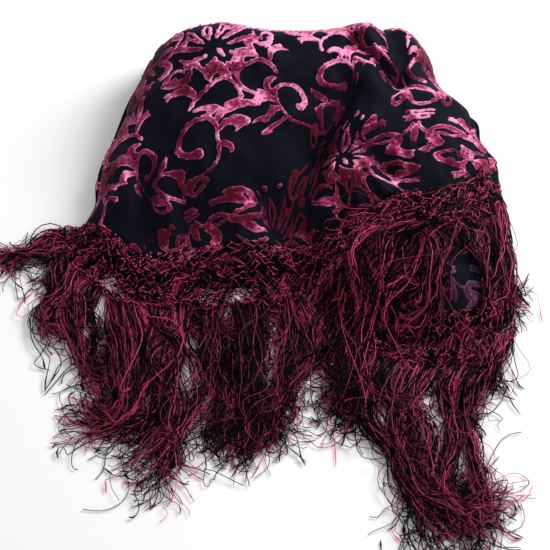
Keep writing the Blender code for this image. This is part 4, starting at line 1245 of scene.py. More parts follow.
@dataclass
class KnottedNet:
    """A band of paired threads, knotted into diamonds and gathered, sewn to the hem."""

    name: str
    heap: Heap
    stations: Sequence[Station]
    columns: int
    rows: int
    lift: float
    seed: int
    crumple: float = 0.0046
    sway: tuple[float, float] = (0.0020, 0.0022)
    sway_wave: float = 0.024
    lump_wave: float = 0.017
    uneven: float = 0.24
    black: float = 0.60
    under_black: float = 0.86
    under_rise: float = -0.0022
    under_seed: int = 50
    thread: float = 0.00040
    slack: float = 0.0010
    arch: float = 0.0010
    knot_long: float = 0.0012
    knot_wide: float = 0.00090
    knot_lift: float = 0.0006
    off_floor: float = 0.0002

    def place(self, at: Array, share: Array, seed: int) -> Array:
        """Points of the band's crumpled surface.

        Args:
            at: places along the band, from 0 to 1.
            share: places across it, from 0 to 1.
            seed: start of the random draw of its crumples.

        Returns:
            The points.
        """
        x, y = band_plan(self.stations, at, share)
        loose = np.sqrt(np.clip(share, 0, 1))
        drift, lump = Ripple(seed, self.sway_wave), Ripple(seed + 1, self.lump_wave)
        sway_x, sway_y = self.sway
        x, y = x + sway_x * loose * drift.at(x, y), y + sway_y * loose * drift.at(y, x + 1)
        ground = np.maximum(self.heap.height(x, y) - CLOTH_WALL, 0.0)
        lumps = np.clip(0.45 + 0.5 * lump.at(x, y), 0, 1.3)
        high = self.lift * (0.35 + 0.65 * ease(share * 6)) + self.crumple * loose * lumps
        return np.stack([x, y, ground + high], -1)

    def threads(self) -> dict[Yarn, ThreadBundle]:
        """Knots and threads of the band, over a darker layer of the same net gathered under it.

        Returns:
            The threads of each colour.
        """
        bundles = {yarn: ThreadBundle() for yarn in Yarn}
        self.layer(bundles, self.seed, 0.0, self.black, (-1, 1))
        self.layer(bundles, self.seed + self.under_seed, self.under_rise, self.under_black, (1,))
        return bundles

    def links(self, draw: np.random.Generator) -> tuple[Array, Array, Array]:
        """Knots of a layer and the links between them, by place along and across the band.

        Args:
            draw: the random draw.

        Returns:
            The knots, and where each link starts and ends.
        """
        row, column = np.meshgrid(np.arange(self.rows + 1), np.arange(self.columns + 1), indexing="ij")
        jitter = draw.uniform(-self.uneven, self.uneven, (2, *row.shape))
        at = (column + 0.5 * (row % 2) + jitter[0] - 0.25) / self.columns
        knots = np.stack([at, (row + jitter[1] * (row > 0)) / self.rows], -1)
        starts, ends = [], []
        for r in range(self.rows):
            for other in (0, 1):
                c = np.arange(self.columns + 1)
                d = c + other - 1 + r % 2
                good = (d >= 0) & (d <= self.columns)
                starts.append(knots[r, c[good]])
                ends.append(knots[r + 1, d[good]])
        return knots.reshape(-1, 2), np.concatenate(starts), np.concatenate(ends)

    def layer(
        self, bundles: dict[Yarn, ThreadBundle], seed: int, rise: float, black: float, pairs: Sequence[int]
    ) -> None:
        """Adds one layer of net.

        Args:
            bundles: where the threads go.
            seed: start of the random draw.
            rise: height of the layer over the band's surface.
            black: share of black threads.
            pairs: the sides of a link that have a thread.
        """
        draw = np.random.default_rng(seed)
        knots, starts, ends = self.links(draw)
        u = np.linspace(0, 1, 4)
        arch = np.sin(np.pi * u)
        for pair in pairs:
            line = starts[:, None] + u[None, :, None] * (ends - starts)[:, None]
            paths = self.place(np.clip(line[..., 0], 0, 1), np.clip(line[..., 1], 0, 1), seed)
            way = paths[:, -1] - paths[:, 0]
            side = np.stack([-way[:, 1], way[:, 0], 0 * way[:, 0]], -1)
            side /= np.maximum(np.linalg.norm(side, axis=1, keepdims=True), 1e-9)
            bow = pair * self.slack * draw.uniform(0.1, 1.0, len(starts))[:, None] * arch
            bow = bow + 0.4 * self.slack * draw.normal(0, 1, (len(starts), 1)) * np.sin(2 * np.pi * u)
            paths = paths + bow[..., None] * side[:, None]
            paths[..., 2] += rise + self.arch * arch * draw.uniform(-0.3, 1.6, (len(starts), 1))
            self.share_out(bundles, draw, paths, np.full(paths.shape[:2], self.thread), black, 3)
        centre = self.place(np.clip(knots[:, 0], 0, 1), np.clip(knots[:, 1], 0, 1), seed)
        spin = draw.uniform(0, np.pi, len(centre))
        way = np.stack([np.cos(spin), np.sin(spin), 0 * spin], -1)
        t = np.linspace(-1, 1, 3)
        paths = centre[:, None] + self.knot_long * t[None, :, None] * way[:, None]
        paths[..., 2] += rise + self.knot_lift
        radii = np.tile(self.knot_wide * np.sqrt(np.clip(1.1 - t * t, 0.1, 1)), (len(centre), 1))
        self.share_out(bundles, draw, paths, radii, black, 4)

    def share_out(
        self,
        bundles: dict[Yarn, ThreadBundle],
        draw: np.random.Generator,
        paths: Array,
        radii: Array,
        black: float,
        sides: int,
    ) -> None:
        """Adds tubes to the bundles of the two colours.

        Args:
            bundles: where the tubes go.
            draw: the random draw.
            paths: tubes by points by 3.
            radii: tubes by points.
            black: share of black ones.
            sides: of each tube.
        """
        paths[..., 2] = np.maximum(paths[..., 2], radii + self.off_floor)
        chosen, shade = draw.random(len(paths)) < black, draw.random(len(paths))
        for yarn, some in ((Yarn.BLACK, chosen), (Yarn.MAGENTA, ~chosen)):
            bundles[yarn].add(paths[some], radii[some], shade[some], sides)


def smoothed(rows: Array) -> Array:
    """Evens out rows of values.

    Args:
        rows: threads by points, with or without a last axis.

    Returns:
        The same with every inner value drawn halfway to its neighbours.
    """
    rows = rows.copy()
    rows[:, 1:-1] = (rows[:, :-2] + 2 * rows[:, 1:-1] + rows[:, 2:]) / 4
    return rows


class Habit(NamedTuple):
    """How far a kind of thread curls off its rope, and over what length."""

    curl: float
    pitch: float


WILD, LOOSE, KEPT = Habit(0.0110, 0.110), Habit(0.0064, 0.080), Habit(0.0021, 0.045)


class Ropes(NamedTuple):
    """Ropes that the threads of a run gather into: points in plan, the way to their side, and lengths."""

    plan: Array
    side: Array
    long: Array


@dataclass
class Fringe:
    """Long threads that come from the knots of a net's edge, gather into ropes and part at their tips."""

    name: str
    heap: Heap
    net: KnottedNet
    first: float
    last: float
    runs: Sequence[Run]
    seed: int
    rope_gap: float = 0.0105
    knots_each: int = 2
    threads_each: int = 33
    point_gap: float = 0.0090
    band_deep: float = 0.055
    knot_spread: float = 0.0014
    thick: float = 0.0100
    upper_inset: float = 0.010
    upper_thick: float = 0.35
    thread: float = 0.00046
    black_fuller: float = 1.3
    over_cloth: float = 0.0006
    over_floor: float = 0.0009
    turn_at: tuple[float, float] = (0.40, 0.60)
    long_uneven: tuple[float, float] = (0.90, 1.06)
    wander_deg: float = 34.0
    finer_wander: float = 0.7
    stray_deg: float = 8.0
    gather: int = 4
    gathered: float = 0.80
    gather_from: float = 0.20
    gather_over: float = 0.45
    reach: tuple[float, float] = (0.95, 0.09)
    reach_ends: tuple[float, float] = (0.62, 1.08)
    in_rope: float = 0.75
    slow_drift: tuple[float, float] = (0.60, 0.9)
    quick_drift: tuple[float, float] = (0.18, 2.2)
    rope_wide: tuple[float, float, float] = (0.0011, 0.0040, 0.0120)
    loose_share: float = 0.24
    loose_wider: float = 1.7
    wild_share: float = 0.07
    hold_reach: float = 0.075
    tip_over: float = 0.40
    tip_turn: float = 1.7
    tip_wave: float = 0.62
    finer_tips: float = 0.45
    ripple: float = 0.0012
    thread_uneven: tuple[float, float] = (0.8, 1.25)
    black_shares: tuple[float, float] = (0.40, 0.76)
    black_least: float = 0.22
    black_most: float = 0.88
    dark_threads: float = 2.2
    off_floor: float = 0.0001
    part_reach: float = 1.8
    part_held: float = 0.44
    opening: tuple[float, float, float, float] | None = None

    def edge(self, share: Array, inset: Array) -> Array:
        """Roots of the threads in plan.

        Args:
            share: of the length of the strip that the fringe hangs from.
            inset: how far each is moved in from the net's edge.

        Returns:
            The roots.
        """
        at = np.linspace(0, 1, 400)
        x, y = band_plan(self.net.stations, at, np.ones_like(at))
        length = np.concatenate([[0], np.cumsum(np.hypot(np.diff(x), np.diff(y)))])
        along = np.interp((self.first + (self.last - self.first) * share) * length[-1], length, at)
        deep = np.clip(1 - inset / self.band_deep, 0.1, 1)
        return np.stack(band_plan(self.net.stations, along, deep), -1)

    def length(self) -> float:
        """Length of the strip that the fringe hangs from."""
        root = self.edge(np.linspace(0, 1, 60), np.zeros(60))
        return float(np.linalg.norm(np.diff(root, axis=0), axis=1).sum())

    def surface(self, x: Array, y: Array) -> Array:
        """Height of what the threads lie on.

        Args:
            x: places in plan.
            y: their other coordinate.

        Returns:
            The height at each place.
        """
        ground = self.heap.height(x, y)
        return np.where(ground > 0.002, ground + self.over_cloth, np.maximum(ground, 0) + self.over_floor)

    def waves(self, draw: np.random.Generator, count: int, steps: int, high: float, cycles: Array) -> Array:
        """Smooth random waves along each of so many threads.

        Args:
            draw: the random draw.
            count: how many threads.
            steps: points along each.
            high: size of the waves.
            cycles: how many waves lie along a thread, for all or for each.

        Returns:
            Threads by steps.
        """
        u = np.linspace(0, 1, steps)[None, :]
        size = draw.normal(0, 1, (2, count, 1)) * high / math.sqrt(2)
        phase = draw.uniform(0, 2 * np.pi, (2, count, 1))
        rate = draw.uniform(0.65, 1.35, (2, count, 1)) * np.reshape(cycles, (-1, 1)) * 2 * np.pi
        return sum(size[k] * np.sin(rate[k] * u + phase[k]) for k in range(2))

    def ropes(self, draw: np.random.Generator, run: Run, count: int, steps: int) -> Ropes:
        """Draws the ropes that the threads of a run gather into.

        Args:
            draw: the random draw.
            run: the run of fringe.
            count: how many ropes.
            steps: points along each.

        Returns:
            The ropes.
        """
        mix = (np.arange(count) + draw.uniform(0.25, 0.75, count)) / count
        root, middle, tip = (
            (a + mix * (b - a) + draw.normal(0, self.stray_deg, count))[:, None]
            for a, b in (
                (run.root_in, run.root_out),
                (run.middle_in, run.middle_out),
                (run.tip_in, run.tip_out),
            )
        )
        u = np.linspace(0, 1, steps)[None, :]
        turn = draw.uniform(*self.turn_at, (count, 1))
        heading = root + (middle - root) * ease(u / turn) + (tip - middle) * ease((u - turn) / (1 - turn))
        wander = self.waves(draw, count, steps, self.wander_deg, 1.3)
        wander += self.waves(draw, count, steps, self.wander_deg * self.finer_wander, 2.7)
        heading += wander * ease(u * 4)
        long = (run.long_in + mix * (run.long_out - run.long_in)) * draw.uniform(*self.long_uneven, count)
        way = np.radians((heading[:, 1:] + heading[:, :-1]) / 2)
        step = long[:, None] / (steps - 1)
        plan = np.zeros((count, steps, 2))
        plan[:, 1:, 0], plan[:, 1:, 1] = np.cumsum(np.cos(way) * step, 1), np.cumsum(np.sin(way) * step, 1)
        plan += self.edge(run.start + mix * (run.stop - run.start), np.full(count, run.inset))[:, None]
        group = np.arange(count) // self.gather
        lead = np.stack([plan[group == g].mean(axis=0) for g in group])
        plan += self.gathered * ease((u - self.gather_from) / self.gather_over)[..., None] * (lead - plan)
        turned = np.radians(heading + 90)
        return Ropes(plan, np.stack([np.cos(turned), np.sin(turned)], -1), long)

    def threads(self) -> dict[Yarn, ThreadBundle]:
        """Lays every thread from its knot to its tip.

        Returns:
            The threads of each colour.
        """
        draw = np.random.default_rng(self.seed)
        bundles = {yarn: ThreadBundle() for yarn in Yarn}
        for run in self.runs:
            ropes = max(2, round((run.stop - run.start) * self.length() / self.rope_gap * run.share))
            steps = int((run.long_in + run.long_out) / 2 / self.point_gap) + 3
            self.lay_run(draw, bundles, run, ropes, steps)
        return bundles

    def roots(self, draw: np.random.Generator, run: Run, place: Array) -> Array:
        """Draws where the threads of a run start, near their knots.

        Args:
            draw: the random draw.
            run: the run of fringe.
            place: share of the run's length at which each thread's knot is.

        Returns:
            The roots in plan.
        """
        inset = run.inset * draw.uniform(0.5, 1.4, len(place))
        root = self.edge(np.clip(run.start + place * (run.stop - run.start), 0, 1), inset)
        return root + draw.normal(0, self.knot_spread, (len(place), 2))

    def course(
        self, draw: np.random.Generator, ropes: Ropes, rope: Array, u: Array
    ) -> tuple[Array, Array, Array]:
        """Draws the threads along their ropes, each with its own place in the rope and its own waves.

        Args:
            draw: the random draw.
            ropes: the ropes.
            rope: which of them each thread is in.
            u: places of the points along a thread, from 0 to 1.

        Returns:
            The points in plan, how far along its rope each is, and which threads are wild.
        """
        count, steps = len(rope), u.shape[1]
        long = ropes.long[rope]
        share = u * np.clip(draw.normal(*self.reach, (count, 1)), *self.reach_ends)
        spot = np.repeat(rope[:, None], steps, 1).astype(float)
        along = np.minimum(share, 1.0) * (steps - 1)
        line, across = read_table(ropes.plan, spot, along), read_table(ropes.side, spot, along)
        past = ((share - 1).clip(0) * long[:, None])[..., None]
        line = line + across[..., ::-1] * np.array([1, -1]) * past
        loose = draw.random((count, 1)) < self.loose_share
        at_knot, on_way, at_tip = self.rope_wide
        tip = np.clip((u - 1 + self.tip_over) / self.tip_over, 0, 1)
        wide = at_knot + on_way * ease(u * 4) + at_tip * tip**1.4
        own = self.in_rope * draw.normal(0, 1, (count, 1)) + self.waves(draw, count, steps, *self.slow_drift)
        own = own + self.waves(draw, count, steps, *self.quick_drift)
        away = wide * own * np.where(loose, self.loose_wider, 1.0)
        wild = draw.random((count, 1)) < self.wild_share
        curl = np.where(wild, WILD.curl, np.where(loose, LOOSE.curl, KEPT.curl)) * ease(u * 3)
        pitch = np.where(wild, WILD.pitch, np.where(loose, LOOSE.pitch, KEPT.pitch))[:, 0]
        away = away + curl * self.waves(draw, count, steps, 1.0, long / pitch)
        ahead = curl * self.waves(draw, count, steps, 1.0, long / pitch)
        return line + across * away[..., None] + across[..., ::-1] * ahead[..., None], share, wild

    def curl_tips(self, draw: np.random.Generator, line: Array) -> Array:
        """Turns the last stretch of each thread round into a loose hook.

        Args:
            draw: the random draw.
            line: the threads' points in plan.

        Returns:
            The points with the tips turned.
        """
        count, steps = len(line), line.shape[1] - 1
        u = (np.arange(steps) + 0.5) / steps
        tip = np.clip((u - 1 + self.tip_over) / self.tip_over, 0, 1)
        turn = draw.normal(0, self.tip_turn, (count, 1)) * tip**1.3
        before_tip = np.clip((u - self.tip_over) / self.tip_over, 0, 1)
        turn += self.waves(draw, count, steps, self.tip_wave, 3.5) * before_tip
        course = np.diff(line, axis=1)
        x, y = course[..., 0], course[..., 1]
        turned = np.stack([x * np.cos(turn) - y * np.sin(turn), x * np.sin(turn) + y * np.cos(turn)], -1)
        return np.concatenate([line[:, :1], line[:, :1] + np.cumsum(turned, axis=1)], 1)

    def part_threads(self, line: Array) -> Array:
        """Parts the threads round the opening through which the lower panel shows.

        Args:
            line: the threads' points in plan.

        Returns:
            The points, those of a thread moved to one side of the opening.
        """
        x, y, half_x, half_y = self.opening
        across, up = (line[..., 0] - x) / half_x, (line[..., 1] - y) / half_y
        edge = np.sqrt(np.clip(1 - up**2, 0, 1))
        near = (edge > 0) & (np.abs(across) < self.part_reach)
        side = np.where((across * near).sum(1, keepdims=True) < 0, -1, 1)
        out = np.maximum(across * side, 0)
        moved = np.where(near & (out < self.part_reach * edge), side * (edge + self.part_held * out), across)
        return np.stack([x + half_x * moved, line[..., 1]], -1)

    def lay_run(
        self,
        draw: np.random.Generator,
        bundles: dict[Yarn, ThreadBundle],
        run: Run,
        many: int,
        steps: int,
    ) -> None:
        """Lays the threads of one run.

        Args:
            draw: the random draw.
            bundles: where the threads go.
            run: the run of fringe.
            many: how many ropes its threads gather into.
            steps: points along each thread.
        """
        ropes = self.ropes(draw, run, many, steps)
        count = many * self.threads_each
        rope = np.repeat(np.arange(many), self.threads_each)
        knot = np.floor(draw.random(count) * self.knots_each)
        root = self.roots(draw, run, (rope + (knot + 0.5) / self.knots_each) / many)
        u = np.linspace(0, 1, steps)[None, :]
        u = u * (1 + self.finer_tips - self.finer_tips * u)
        line, share, wild = self.course(draw, ropes, rope, u)
        hold = 1 - ease(share * ropes.long[rope][:, None] / self.hold_reach)
        line = self.curl_tips(draw, line + (root - line[:, 0])[:, None] * hold[..., None])
        if self.opening:
            line = self.part_threads(line)
        low, high = np.array(REACH_LOW), np.array(REACH_HIGH)
        line = smoothed(line - TUCK * ((line - high).clip(0) - (low - line).clip(0)))

        ground = self.surface(line[..., 0], line[..., 1])
        over = draw.random((many, 1))[rope] * 0.5 + 0.5 * draw.random((count, 1))
        over = np.where(wild, 1.0, over) * (self.upper_thick if run.inset > self.upper_inset else 1.0)
        z = ground + over * self.thick * np.sin(np.pi * np.clip(u * 0.90 + 0.08, 0, 1)) ** 0.7
        z = smoothed(smoothed(z + self.ripple * np.abs(self.waves(draw, count, steps, 1.0, 4.0)) * u))
        paths = np.concatenate([line, np.maximum(z, ground)[..., None]], -1)

        radii = self.thread * (1.12 - 0.24 * u) * draw.uniform(*self.thread_uneven, (count, 1))
        radii[:, -2] *= draw.choice([1.0, 2.0], count, p=[0.6, 0.4])
        paths[..., 2] = np.maximum(paths[..., 2], radii + self.off_floor)
        black_share = draw.uniform(*self.black_shares, many)[rope] + 0.24 * (knot - 0.5)
        black = draw.random(count) < np.clip(black_share, self.black_least, self.black_most)
        shade = draw.random(count) ** self.dark_threads
        radii[black] *= self.black_fuller
        for yarn, chosen in ((Yarn.BLACK, black), (Yarn.MAGENTA, ~black)):
            bundles[yarn].add(paths[chosen], radii[chosen], shade[chosen], 3)


class Maths:
    """A socket of a node, on which sums can be written as expressions."""

    def __init__(self, shader: "Shader", socket: bpy.types.NodeSocket) -> None:
        """Wraps a socket of a shader's node."""
        self.shader, self.socket = shader, socket

    def _do(self, operation: str, *values: "Maths | float") -> "Maths":
        """Adds a Math node for an operation on these values."""
        sockets = {k: v for k, v in enumerate(values)}
        return self.shader.node("ShaderNodeMath", {"operation": operation}, sockets).value

    def __add__(self, other: "Maths | float") -> "Maths":
        """Sum."""
        return self._do("ADD", self, other)

    def __radd__(self, other: float) -> "Maths":
        """Sum, the number first."""
        return self._do("ADD", other, self)

    def __sub__(self, other: "Maths | float") -> "Maths":
        """Difference."""
        return self._do("SUBTRACT", self, other)

    def __rsub__(self, other: float) -> "Maths":
        """Difference, the number first."""
        return self._do("SUBTRACT", other, self)

    def __mul__(self, other: "Maths | float") -> "Maths":
        """Product."""
        return self._do("MULTIPLY", self, other)

    def __rmul__(self, other: float) -> "Maths":
        """Product, the number first."""
        return self._do("MULTIPLY", other, self)

    def __pow__(self, other: float) -> "Maths":
        """Power."""
        return self._do("POWER", self, other)

    def clamped(self) -> "Maths":
        """The value held between 0 and 1."""
        made = self.shader.node("ShaderNodeClamp", {}, {"Value": self, "Min": 0.0, "Max": 1.0})
        return made.out("Result")


class Made:
    """A node that was added, with ways to read its outputs."""

    def __init__(self, shader: "Shader", node: bpy.types.Node) -> None:
        """Wraps a node of a shader."""
        self.shader, self.node = shader, node

    def out(self, name: str) -> Maths:
        """An output by name."""
        return Maths(self.shader, self.node.outputs[name])

    @property
    def value(self) -> Maths:
        """The first output."""
        return Maths(self.shader, self.node.outputs[0])


class Shader:
    """A material under construction."""

    def __init__(self, name: str) -> None:
        """Starts an empty material with an output.

        Args:
            name: of the material.
        """
        self.material = bpy.data.materials.new(name)
        self.material.use_nodes = True
        self.tree = self.material.node_tree
        self.tree.nodes.clear()
        self.output = self.tree.nodes.new("ShaderNodeOutputMaterial")

    def node(self, kind: str, settings: dict[str, Any], sockets: dict[str | int, Any]) -> Made:
        """Adds a node.

        Args:
            kind: the node's type.
            settings: its settings by name, or its colour stops under "stops", set first.
            sockets: its inputs by name or number, each a value or a link.

        Returns:
            The node.
        """
        node = self.tree.nodes.new(kind)
        for name, value in settings.items():
            if name == "stops":
                for k, (place, colour) in enumerate(value):
                    stop = node.color_ramp.elements[k] if k < 2 else node.color_ramp.elements.new(place)
                    stop.position, stop.color = place, (*colour, 1.0)
            else:
                setattr(node, name, value)
        for name, value in sockets.items():
            if isinstance(value, Maths):
                self.tree.links.new(value.socket, node.inputs[name])
            else:
                node.inputs[name].default_value = value
        return Made(self, node)

    def mark(self, name: str) -> Maths:
        """A named value kept at the mesh's points."""
        return self.node("ShaderNodeAttribute", {"attribute_name": name}, {}).out("Fac")

    def noise(self, scale: float, detail: float = 2.0, rough: float = 0.5) -> Maths:
        """Noise over the object's own metres.

        Args:
            scale: how many times a metre it turns.
            detail: how many finer layers it has.
            rough: how strong they are.

        Returns:
            The value, from 0 to 1.
        """
        place = self.node("ShaderNodeTexCoord", {}, {}).out("Object")
        sockets = {"Vector": place, "Scale": scale, "Detail": detail, "Roughness": rough}
        return self.node("ShaderNodeTexNoise", {}, sockets).out("Fac")

    def ramp(self, fac: Maths, stops: Sequence[tuple[float, Colour]]) -> Maths:
        """A colour read from stops by a value."""
        return self.node("ShaderNodeValToRGB", {"stops": stops}, {"Fac": fac}).out("Color")

    def bump(self, height: Maths, strength: float, distance: float) -> Maths:
        """A normal from a height."""
        sockets = {"Strength": strength, "Distance": distance, "Height": height}
        return self.node("ShaderNodeBump", {}, sockets).out("Normal")

    def finish(self, **sockets: Any) -> bpy.types.Material:
        """Ends the material in a Principled BSDF.

        Args:
            sockets: its inputs by name, with underscores for spaces.

        Returns:
            The material.
        """
        named = {name.replace("_", " "): value for name, value in sockets.items()}
        shader = self.node("ShaderNodeBsdfPrincipled", {}, named)
        self.tree.links.new(shader.node.outputs["BSDF"], self.output.inputs["Surface"])
        return self.material


class Pull(NamedTuple):
    """How strongly each thing brightens the pile: the painted sheen on pile facing up and back, the painted
    highlight at its cut edge and the painted shade in the troughs, besides random patches, strokes and
    grain.
    """

    # painted sheen on pile that faces up and back
    painted_sheen: float = 0.92
    patches: float = 2.1
    strokes: float = 1.5
    grain: float = 0.35
    # painted highlight along the pile's cut edge
    rim: float = 0.60
    # painted shade that darkens the pile in the troughs
    painted_shade: float = -0.8
    base: float = -0.10


@dataclass(frozen=True)
class VelvetFinish:
    """Silk pile, crimson to pink in random patches, with a painted sheen on pile facing up and back, a
    painted highlight at its cut edge and painted shade in the troughs.
    """

    # deep crimson to light pink: the painted shade pushes the pile towards the deep end, and the painted
    # sheen and rim highlight push it towards the light end
    deep: Colour = (0.075, 0.0010, 0.013)
    middle: Colour = (0.360, 0.030, 0.105)
    light: Colour = (0.900, 0.315, 0.570)
    middle_at: float = 0.52
    patch_scale: float = 42.0
    stroke_scale: float = 260.0
    grain_scale: float = 2400.0
    # painted sheen: from this facing up and back the pile is painted lighter, this steeply
    painted_sheen_from: float = 0.50
    painted_sheen_steep: float = 1.95
    sheen: float = 0.30
    sheen_tint: Colour = (1.0, 0.42, 0.62)
    pull: Pull = Pull()

    def material(self, name: str) -> bpy.types.Material:
        """Makes the material.

        Args:
            name: of the material.

        Returns:
            The material.
        """
        shader, pull = Shader(name), self.pull
        patches = shader.noise(self.patch_scale, 3.0, 0.6)
        strokes = shader.noise(self.stroke_scale, 3.0, 0.6)
        grain = shader.noise(self.grain_scale, 2.0, 0.6)
        # painted light: a painted highlight near the pile's cut edge, a painted sheen on pile facing up and
        # back, and painted shade in the troughs, mixed with random tone
        rim = (1.0 - shader.mark("rim")) ** 1.6
        painted_sheen = ((shader.mark("painted_sheen_facing") - self.painted_sheen_from) * self.painted_sheen_steep).clamped()
        bright = painted_sheen * pull.painted_sheen + (patches - 0.5) * pull.patches + (strokes - 0.5) * pull.strokes
        bright = bright + shader.mark("painted_shade") * pull.painted_shade
        bright = bright + (grain - 0.5) * pull.grain + rim * pull.rim + pull.base
        stops = [(0.0, self.deep), (1.0, self.light), (self.middle_at, self.middle)]
        return shader.finish(
            Base_Color=shader.ramp(bright.clamped(), stops),
            Roughness=0.9,
            Specular_IOR_Level=0.15,
            Sheen_Weight=self.sheen,
            Sheen_Roughness=0.42,
            Sheen_Tint=(*self.sheen_tint, 1.0),
            Normal=shader.bump(strokes * 0.6 + grain * 0.4, 0.35, 0.0006),
        )


@dataclass(frozen=True)
class ChiffonFinish:
    """Near-black navy silk ground with a fine crepe grain."""

    dark: Colour = (0.0018, 0.0020, 0.0042)
    light: Colour = (0.0048, 0.0052, 0.0120)
    grain_scale: float = 1900.0
    cloud_scale: float = 60.0
    sheen: float = 0.015
    sheen_tint: Colour = (0.45, 0.5, 0.85)

    def material(self, name: str) -> bpy.types.Material:
        """Makes the material.

        Args:
            name: of the material.

        Returns:
            The material.
        """
        shader = Shader(name)
        grain = shader.noise(self.grain_scale, 2.0, 0.7)
        cloud = shader.noise(self.cloud_scale, 2.0, 0.5)
        value = (cloud * 0.6 + grain * 0.4).clamped()
        return shader.finish(
            Base_Color=shader.ramp(value, [(0.3, self.dark), (0.7, self.light)]),
            Roughness=0.75,
            Specular_IOR_Level=0.06,
            Sheen_Weight=self.sheen,
            Sheen_Roughness=0.5,
            Sheen_Tint=(*self.sheen_tint, 1.0),
            Normal=shader.bump(grain, 0.5, 0.0004),
        )


@dataclass(frozen=True)
class ThreadFinish:
    """Silky fringe thread in one colour."""

    dark: Colour
    light: Colour
    gloss: float
    rough: float = 0.45
    twist_scale: float = 900.0

    def material(self, name: str) -> bpy.types.Material:
        """Makes the material.

        Args:
            name: of the material.

        Returns:
            The material.
        """
        shader = Shader(name)
        twist = shader.noise(self.twist_scale, 2.0, 0.5)
        value = (shader.mark("shade") * 0.75 + twist * 0.4).clamped()
        return shader.finish(
            Base_Color=shader.ramp(value, [(0.15, self.dark), (0.9, self.light)]),
            Roughness=self.rough,
            Specular_IOR_Level=self.gloss,
            Normal=shader.bump(twist, 0.4, 0.0003),
        )


VELVET_REVERSE = VelvetFinish((0.020, 0.004, 0.016), (0.055, 0.012, 0.040), (0.16, 0.05, 0.11))
THREADS = {
    Yarn.BLACK: ThreadFinish((0.0006, 0.0004, 0.0006), (0.0034, 0.0014, 0.0024), 0.06),
    Yarn.MAGENTA: ThreadFinish((0.0300, 0.0006, 0.0060), (0.9000, 0.0800, 0.2500), 0.22),
}


class Lamp(NamedTuple):
    """A square soft light: where it hangs, its side and its power."""

    name: str
    place: Place
    size: float
    power: float


LAMPS = [
    Lamp("key", (1.45, 0.95, 1.30), 0.9, 46.0),
    Lamp("fill", (-1.2, -1.0, 1.9), 2.2, 8.0),
]


@dataclass
class Studio:
    """Pale floor, soft light from the upper right, and the camera."""

    frame_wide: float = 0.605
    far: float = 2.4
    elevation: float = 58.0
    sensor: float = 36.0
    aim: Place = (0.0172, 0.0231, 0.0)
    lit: Place = (0.0, 0.05, 0.03)
    floor_half: float = 4.0
    world_light: float = 0.50

    def floor(self) -> None:
        """Lays a wide pale floor."""
        material = Shader("floor").finish(Base_Color=(0.95, 0.95, 0.955, 1.0), Roughness=0.9)
        corners = self.floor_half * np.array([[-1, -1, 0], [1, -1, 0], [1, 1, 0], [-1, 1, 0]])
        floor = make_piece("floor", corners - np.array(SHIFT), [np.array([[0, 1, 2, 3]])])
        floor.data.materials.append(material)

    def light(self, lamp: Lamp) -> None:
        """Hangs a lamp that faces the heap.

        Args:
            lamp: its row of the table.
        """
        glow = bpy.data.lights.new(lamp.name, "AREA")
        glow.size, glow.energy = lamp.size, lamp.power
        held = bpy.data.objects.new(lamp.name, glow)
        held.location = lamp.place
        aim = Vector(self.lit) - Vector(lamp.place)
        held.rotation_euler = aim.to_track_quat("-Z", "Y").to_euler()
        bpy.context.scene.collection.objects.link(held)

    def camera(self) -> None:
        """Sets the camera at the photograph's angle."""
        lens = bpy.data.cameras.new("camera")
        lens.sensor_width = self.sensor
        lens.lens = self.sensor * self.far / self.frame_wide
        lens.clip_end = 50.0
        held = bpy.data.objects.new("camera", lens)
        tilt = math.radians(self.elevation)
        x, y, z = self.aim
        held.location = (x, y - self.far * math.cos(tilt), z + self.far * math.sin(tilt))
        held.rotation_euler = (math.pi / 2 - tilt, 0.0, 0.0)
        bpy.context.scene.collection.objects.link(held)
        bpy.context.scene.camera = held

    def build(self) -> None:
        """Sets up everything round the shawl."""
        self.floor()
        for lamp in LAMPS:
            self.light(lamp)
        world = bpy.data.worlds.new("studio")
        world.use_nodes = True
        background = world.node_tree.nodes["Background"]
        background.inputs["Color"].default_value = (1.0, 1.0, 1.0, 1.0)
        background.inputs["Strength"].default_value = self.world_light
        scene = bpy.context.scene
        scene.world = world
        scene.view_settings.view_transform = "Standard"
        self.camera()


def dress(piece: bpy.types.Object, material: bpy.types.Material, nodes: Sequence[str]) -> None:
    """Gives a piece its finish, its body and the nodes it stands for.

    Args:
        piece: the object.
        material: its finish.
        nodes: the nodes it replaces.
    """
    piece.data.materials.append(material)
    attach(piece, "root")
    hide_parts(*nodes)
    LOG.info("%s: %d triangles", piece.name, len(piece.data.loops) - 2 * len(piece.data.polygons))


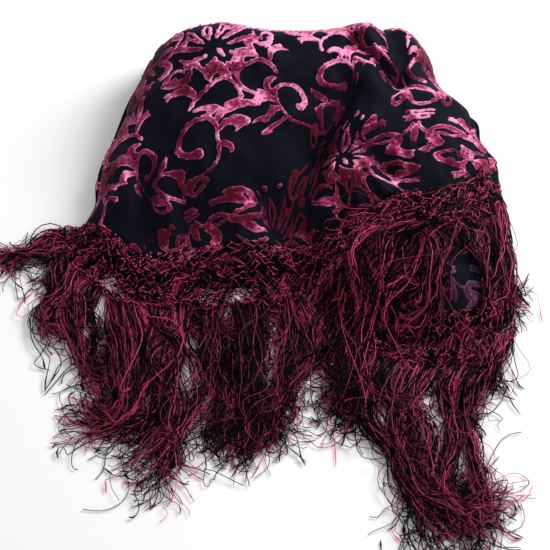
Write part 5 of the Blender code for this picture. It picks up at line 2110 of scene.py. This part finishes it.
def build_panels(heap: Heap) -> None:
    """Makes the velvet panels and the folded layers under them.

    Args:
        heap: the form they lie on.
    """
    scrollwork = Scrollwork()
    velvet = VelvetFinish().material("velvet pile")
    chiffon = ChiffonFinish().material("chiffon ground")
    reverse = VELVET_REVERSE.material("velvet reverse")

    top = TopPanel(heap, scrollwork).patch()
    ground, pile = top.ground(3), top.pile()
    dress(ground, chiffon, ["top_panel"])
    dress(pile, velvet, ["top_panel"])

    layers = FoldedLayers(heap, scrollwork)
    points, flat = layers.surface()
    core = layers.core(points[::2, ::2])
    dress(core, chiffon, ["folded_layers"])
    points, flat = (np.concatenate([grid, grid[:, :1]], 1) for grid in (points, flat))
    side_pile = ClothPatch("folded_layers", points, flat, scrollwork, 0 * points[..., 0]).pile()
    dress(side_pile, velvet, ["folded_layers"])

    lower = LowerPanel(heap, scrollwork).patch()
    lower_ground, lower_pile = lower.ground(2), lower.pile()
    dress(lower_ground, chiffon, ["lower_panel"])
    dress(lower_pile, reverse, ["lower_panel"])


def build_threads(heap: Heap) -> None:
    """Makes the nets and the fringe.

    Args:
        heap: the form they lie on.
    """
    finishes = {yarn: THREADS[yarn].material(yarn.value + " thread") for yarn in Yarn}
    front = KnottedNet("front_net", heap, FRONT_NET, 42, 19, 0.0036, 21)
    right = KnottedNet("right_net", heap, RIGHT_NET, 17, 12, 0.0052, 22)
    lower = KnottedNet("lower_net", heap, LOWER_NET, 18, 14, 0.0036, 23)
    fringes = [
        Fringe("left_fringe", heap, front, 0.0, 0.24, LEFT_RUNS, 31, loose_share=0.18),
        Fringe("lower_fringe", heap, lower, 0.0, 1.0, LOWER_RUNS, 32, gather=2, wander_deg=24.0),
        Fringe(
            "front_left_fringe", heap, front, 0.24, 0.61, FRONT_LEFT_RUNS, 33, gather=6, loose_share=0.22
        ),
        Fringe("front_right_fringe", heap, front, 0.61, 1.0, FRONT_RIGHT_RUNS, 34, loose_share=0.42),
        Fringe("right_fringe", heap, right, 0.0, 1.0, RIGHT_RUNS, 35, opening=PATCH_OPENING),
    ]
    for slot, made in (("net", (front, right, lower)), ("thread", fringes)):
        for maker in made:
            for yarn, bundle in maker.threads().items():
                dress(bundle.piece(f"{maker.name}_{yarn.value}"), finishes[yarn], [maker.name])


def main() -> None:
    """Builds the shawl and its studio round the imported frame."""
    logging.basicConfig(level=logging.INFO, format="%(message)s")
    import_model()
    heap = Heap()
    build_panels(heap)
    build_threads(heap)
    Studio().build()
    bpy.context.view_layer.update()


if __name__ == "__main__":
    main()
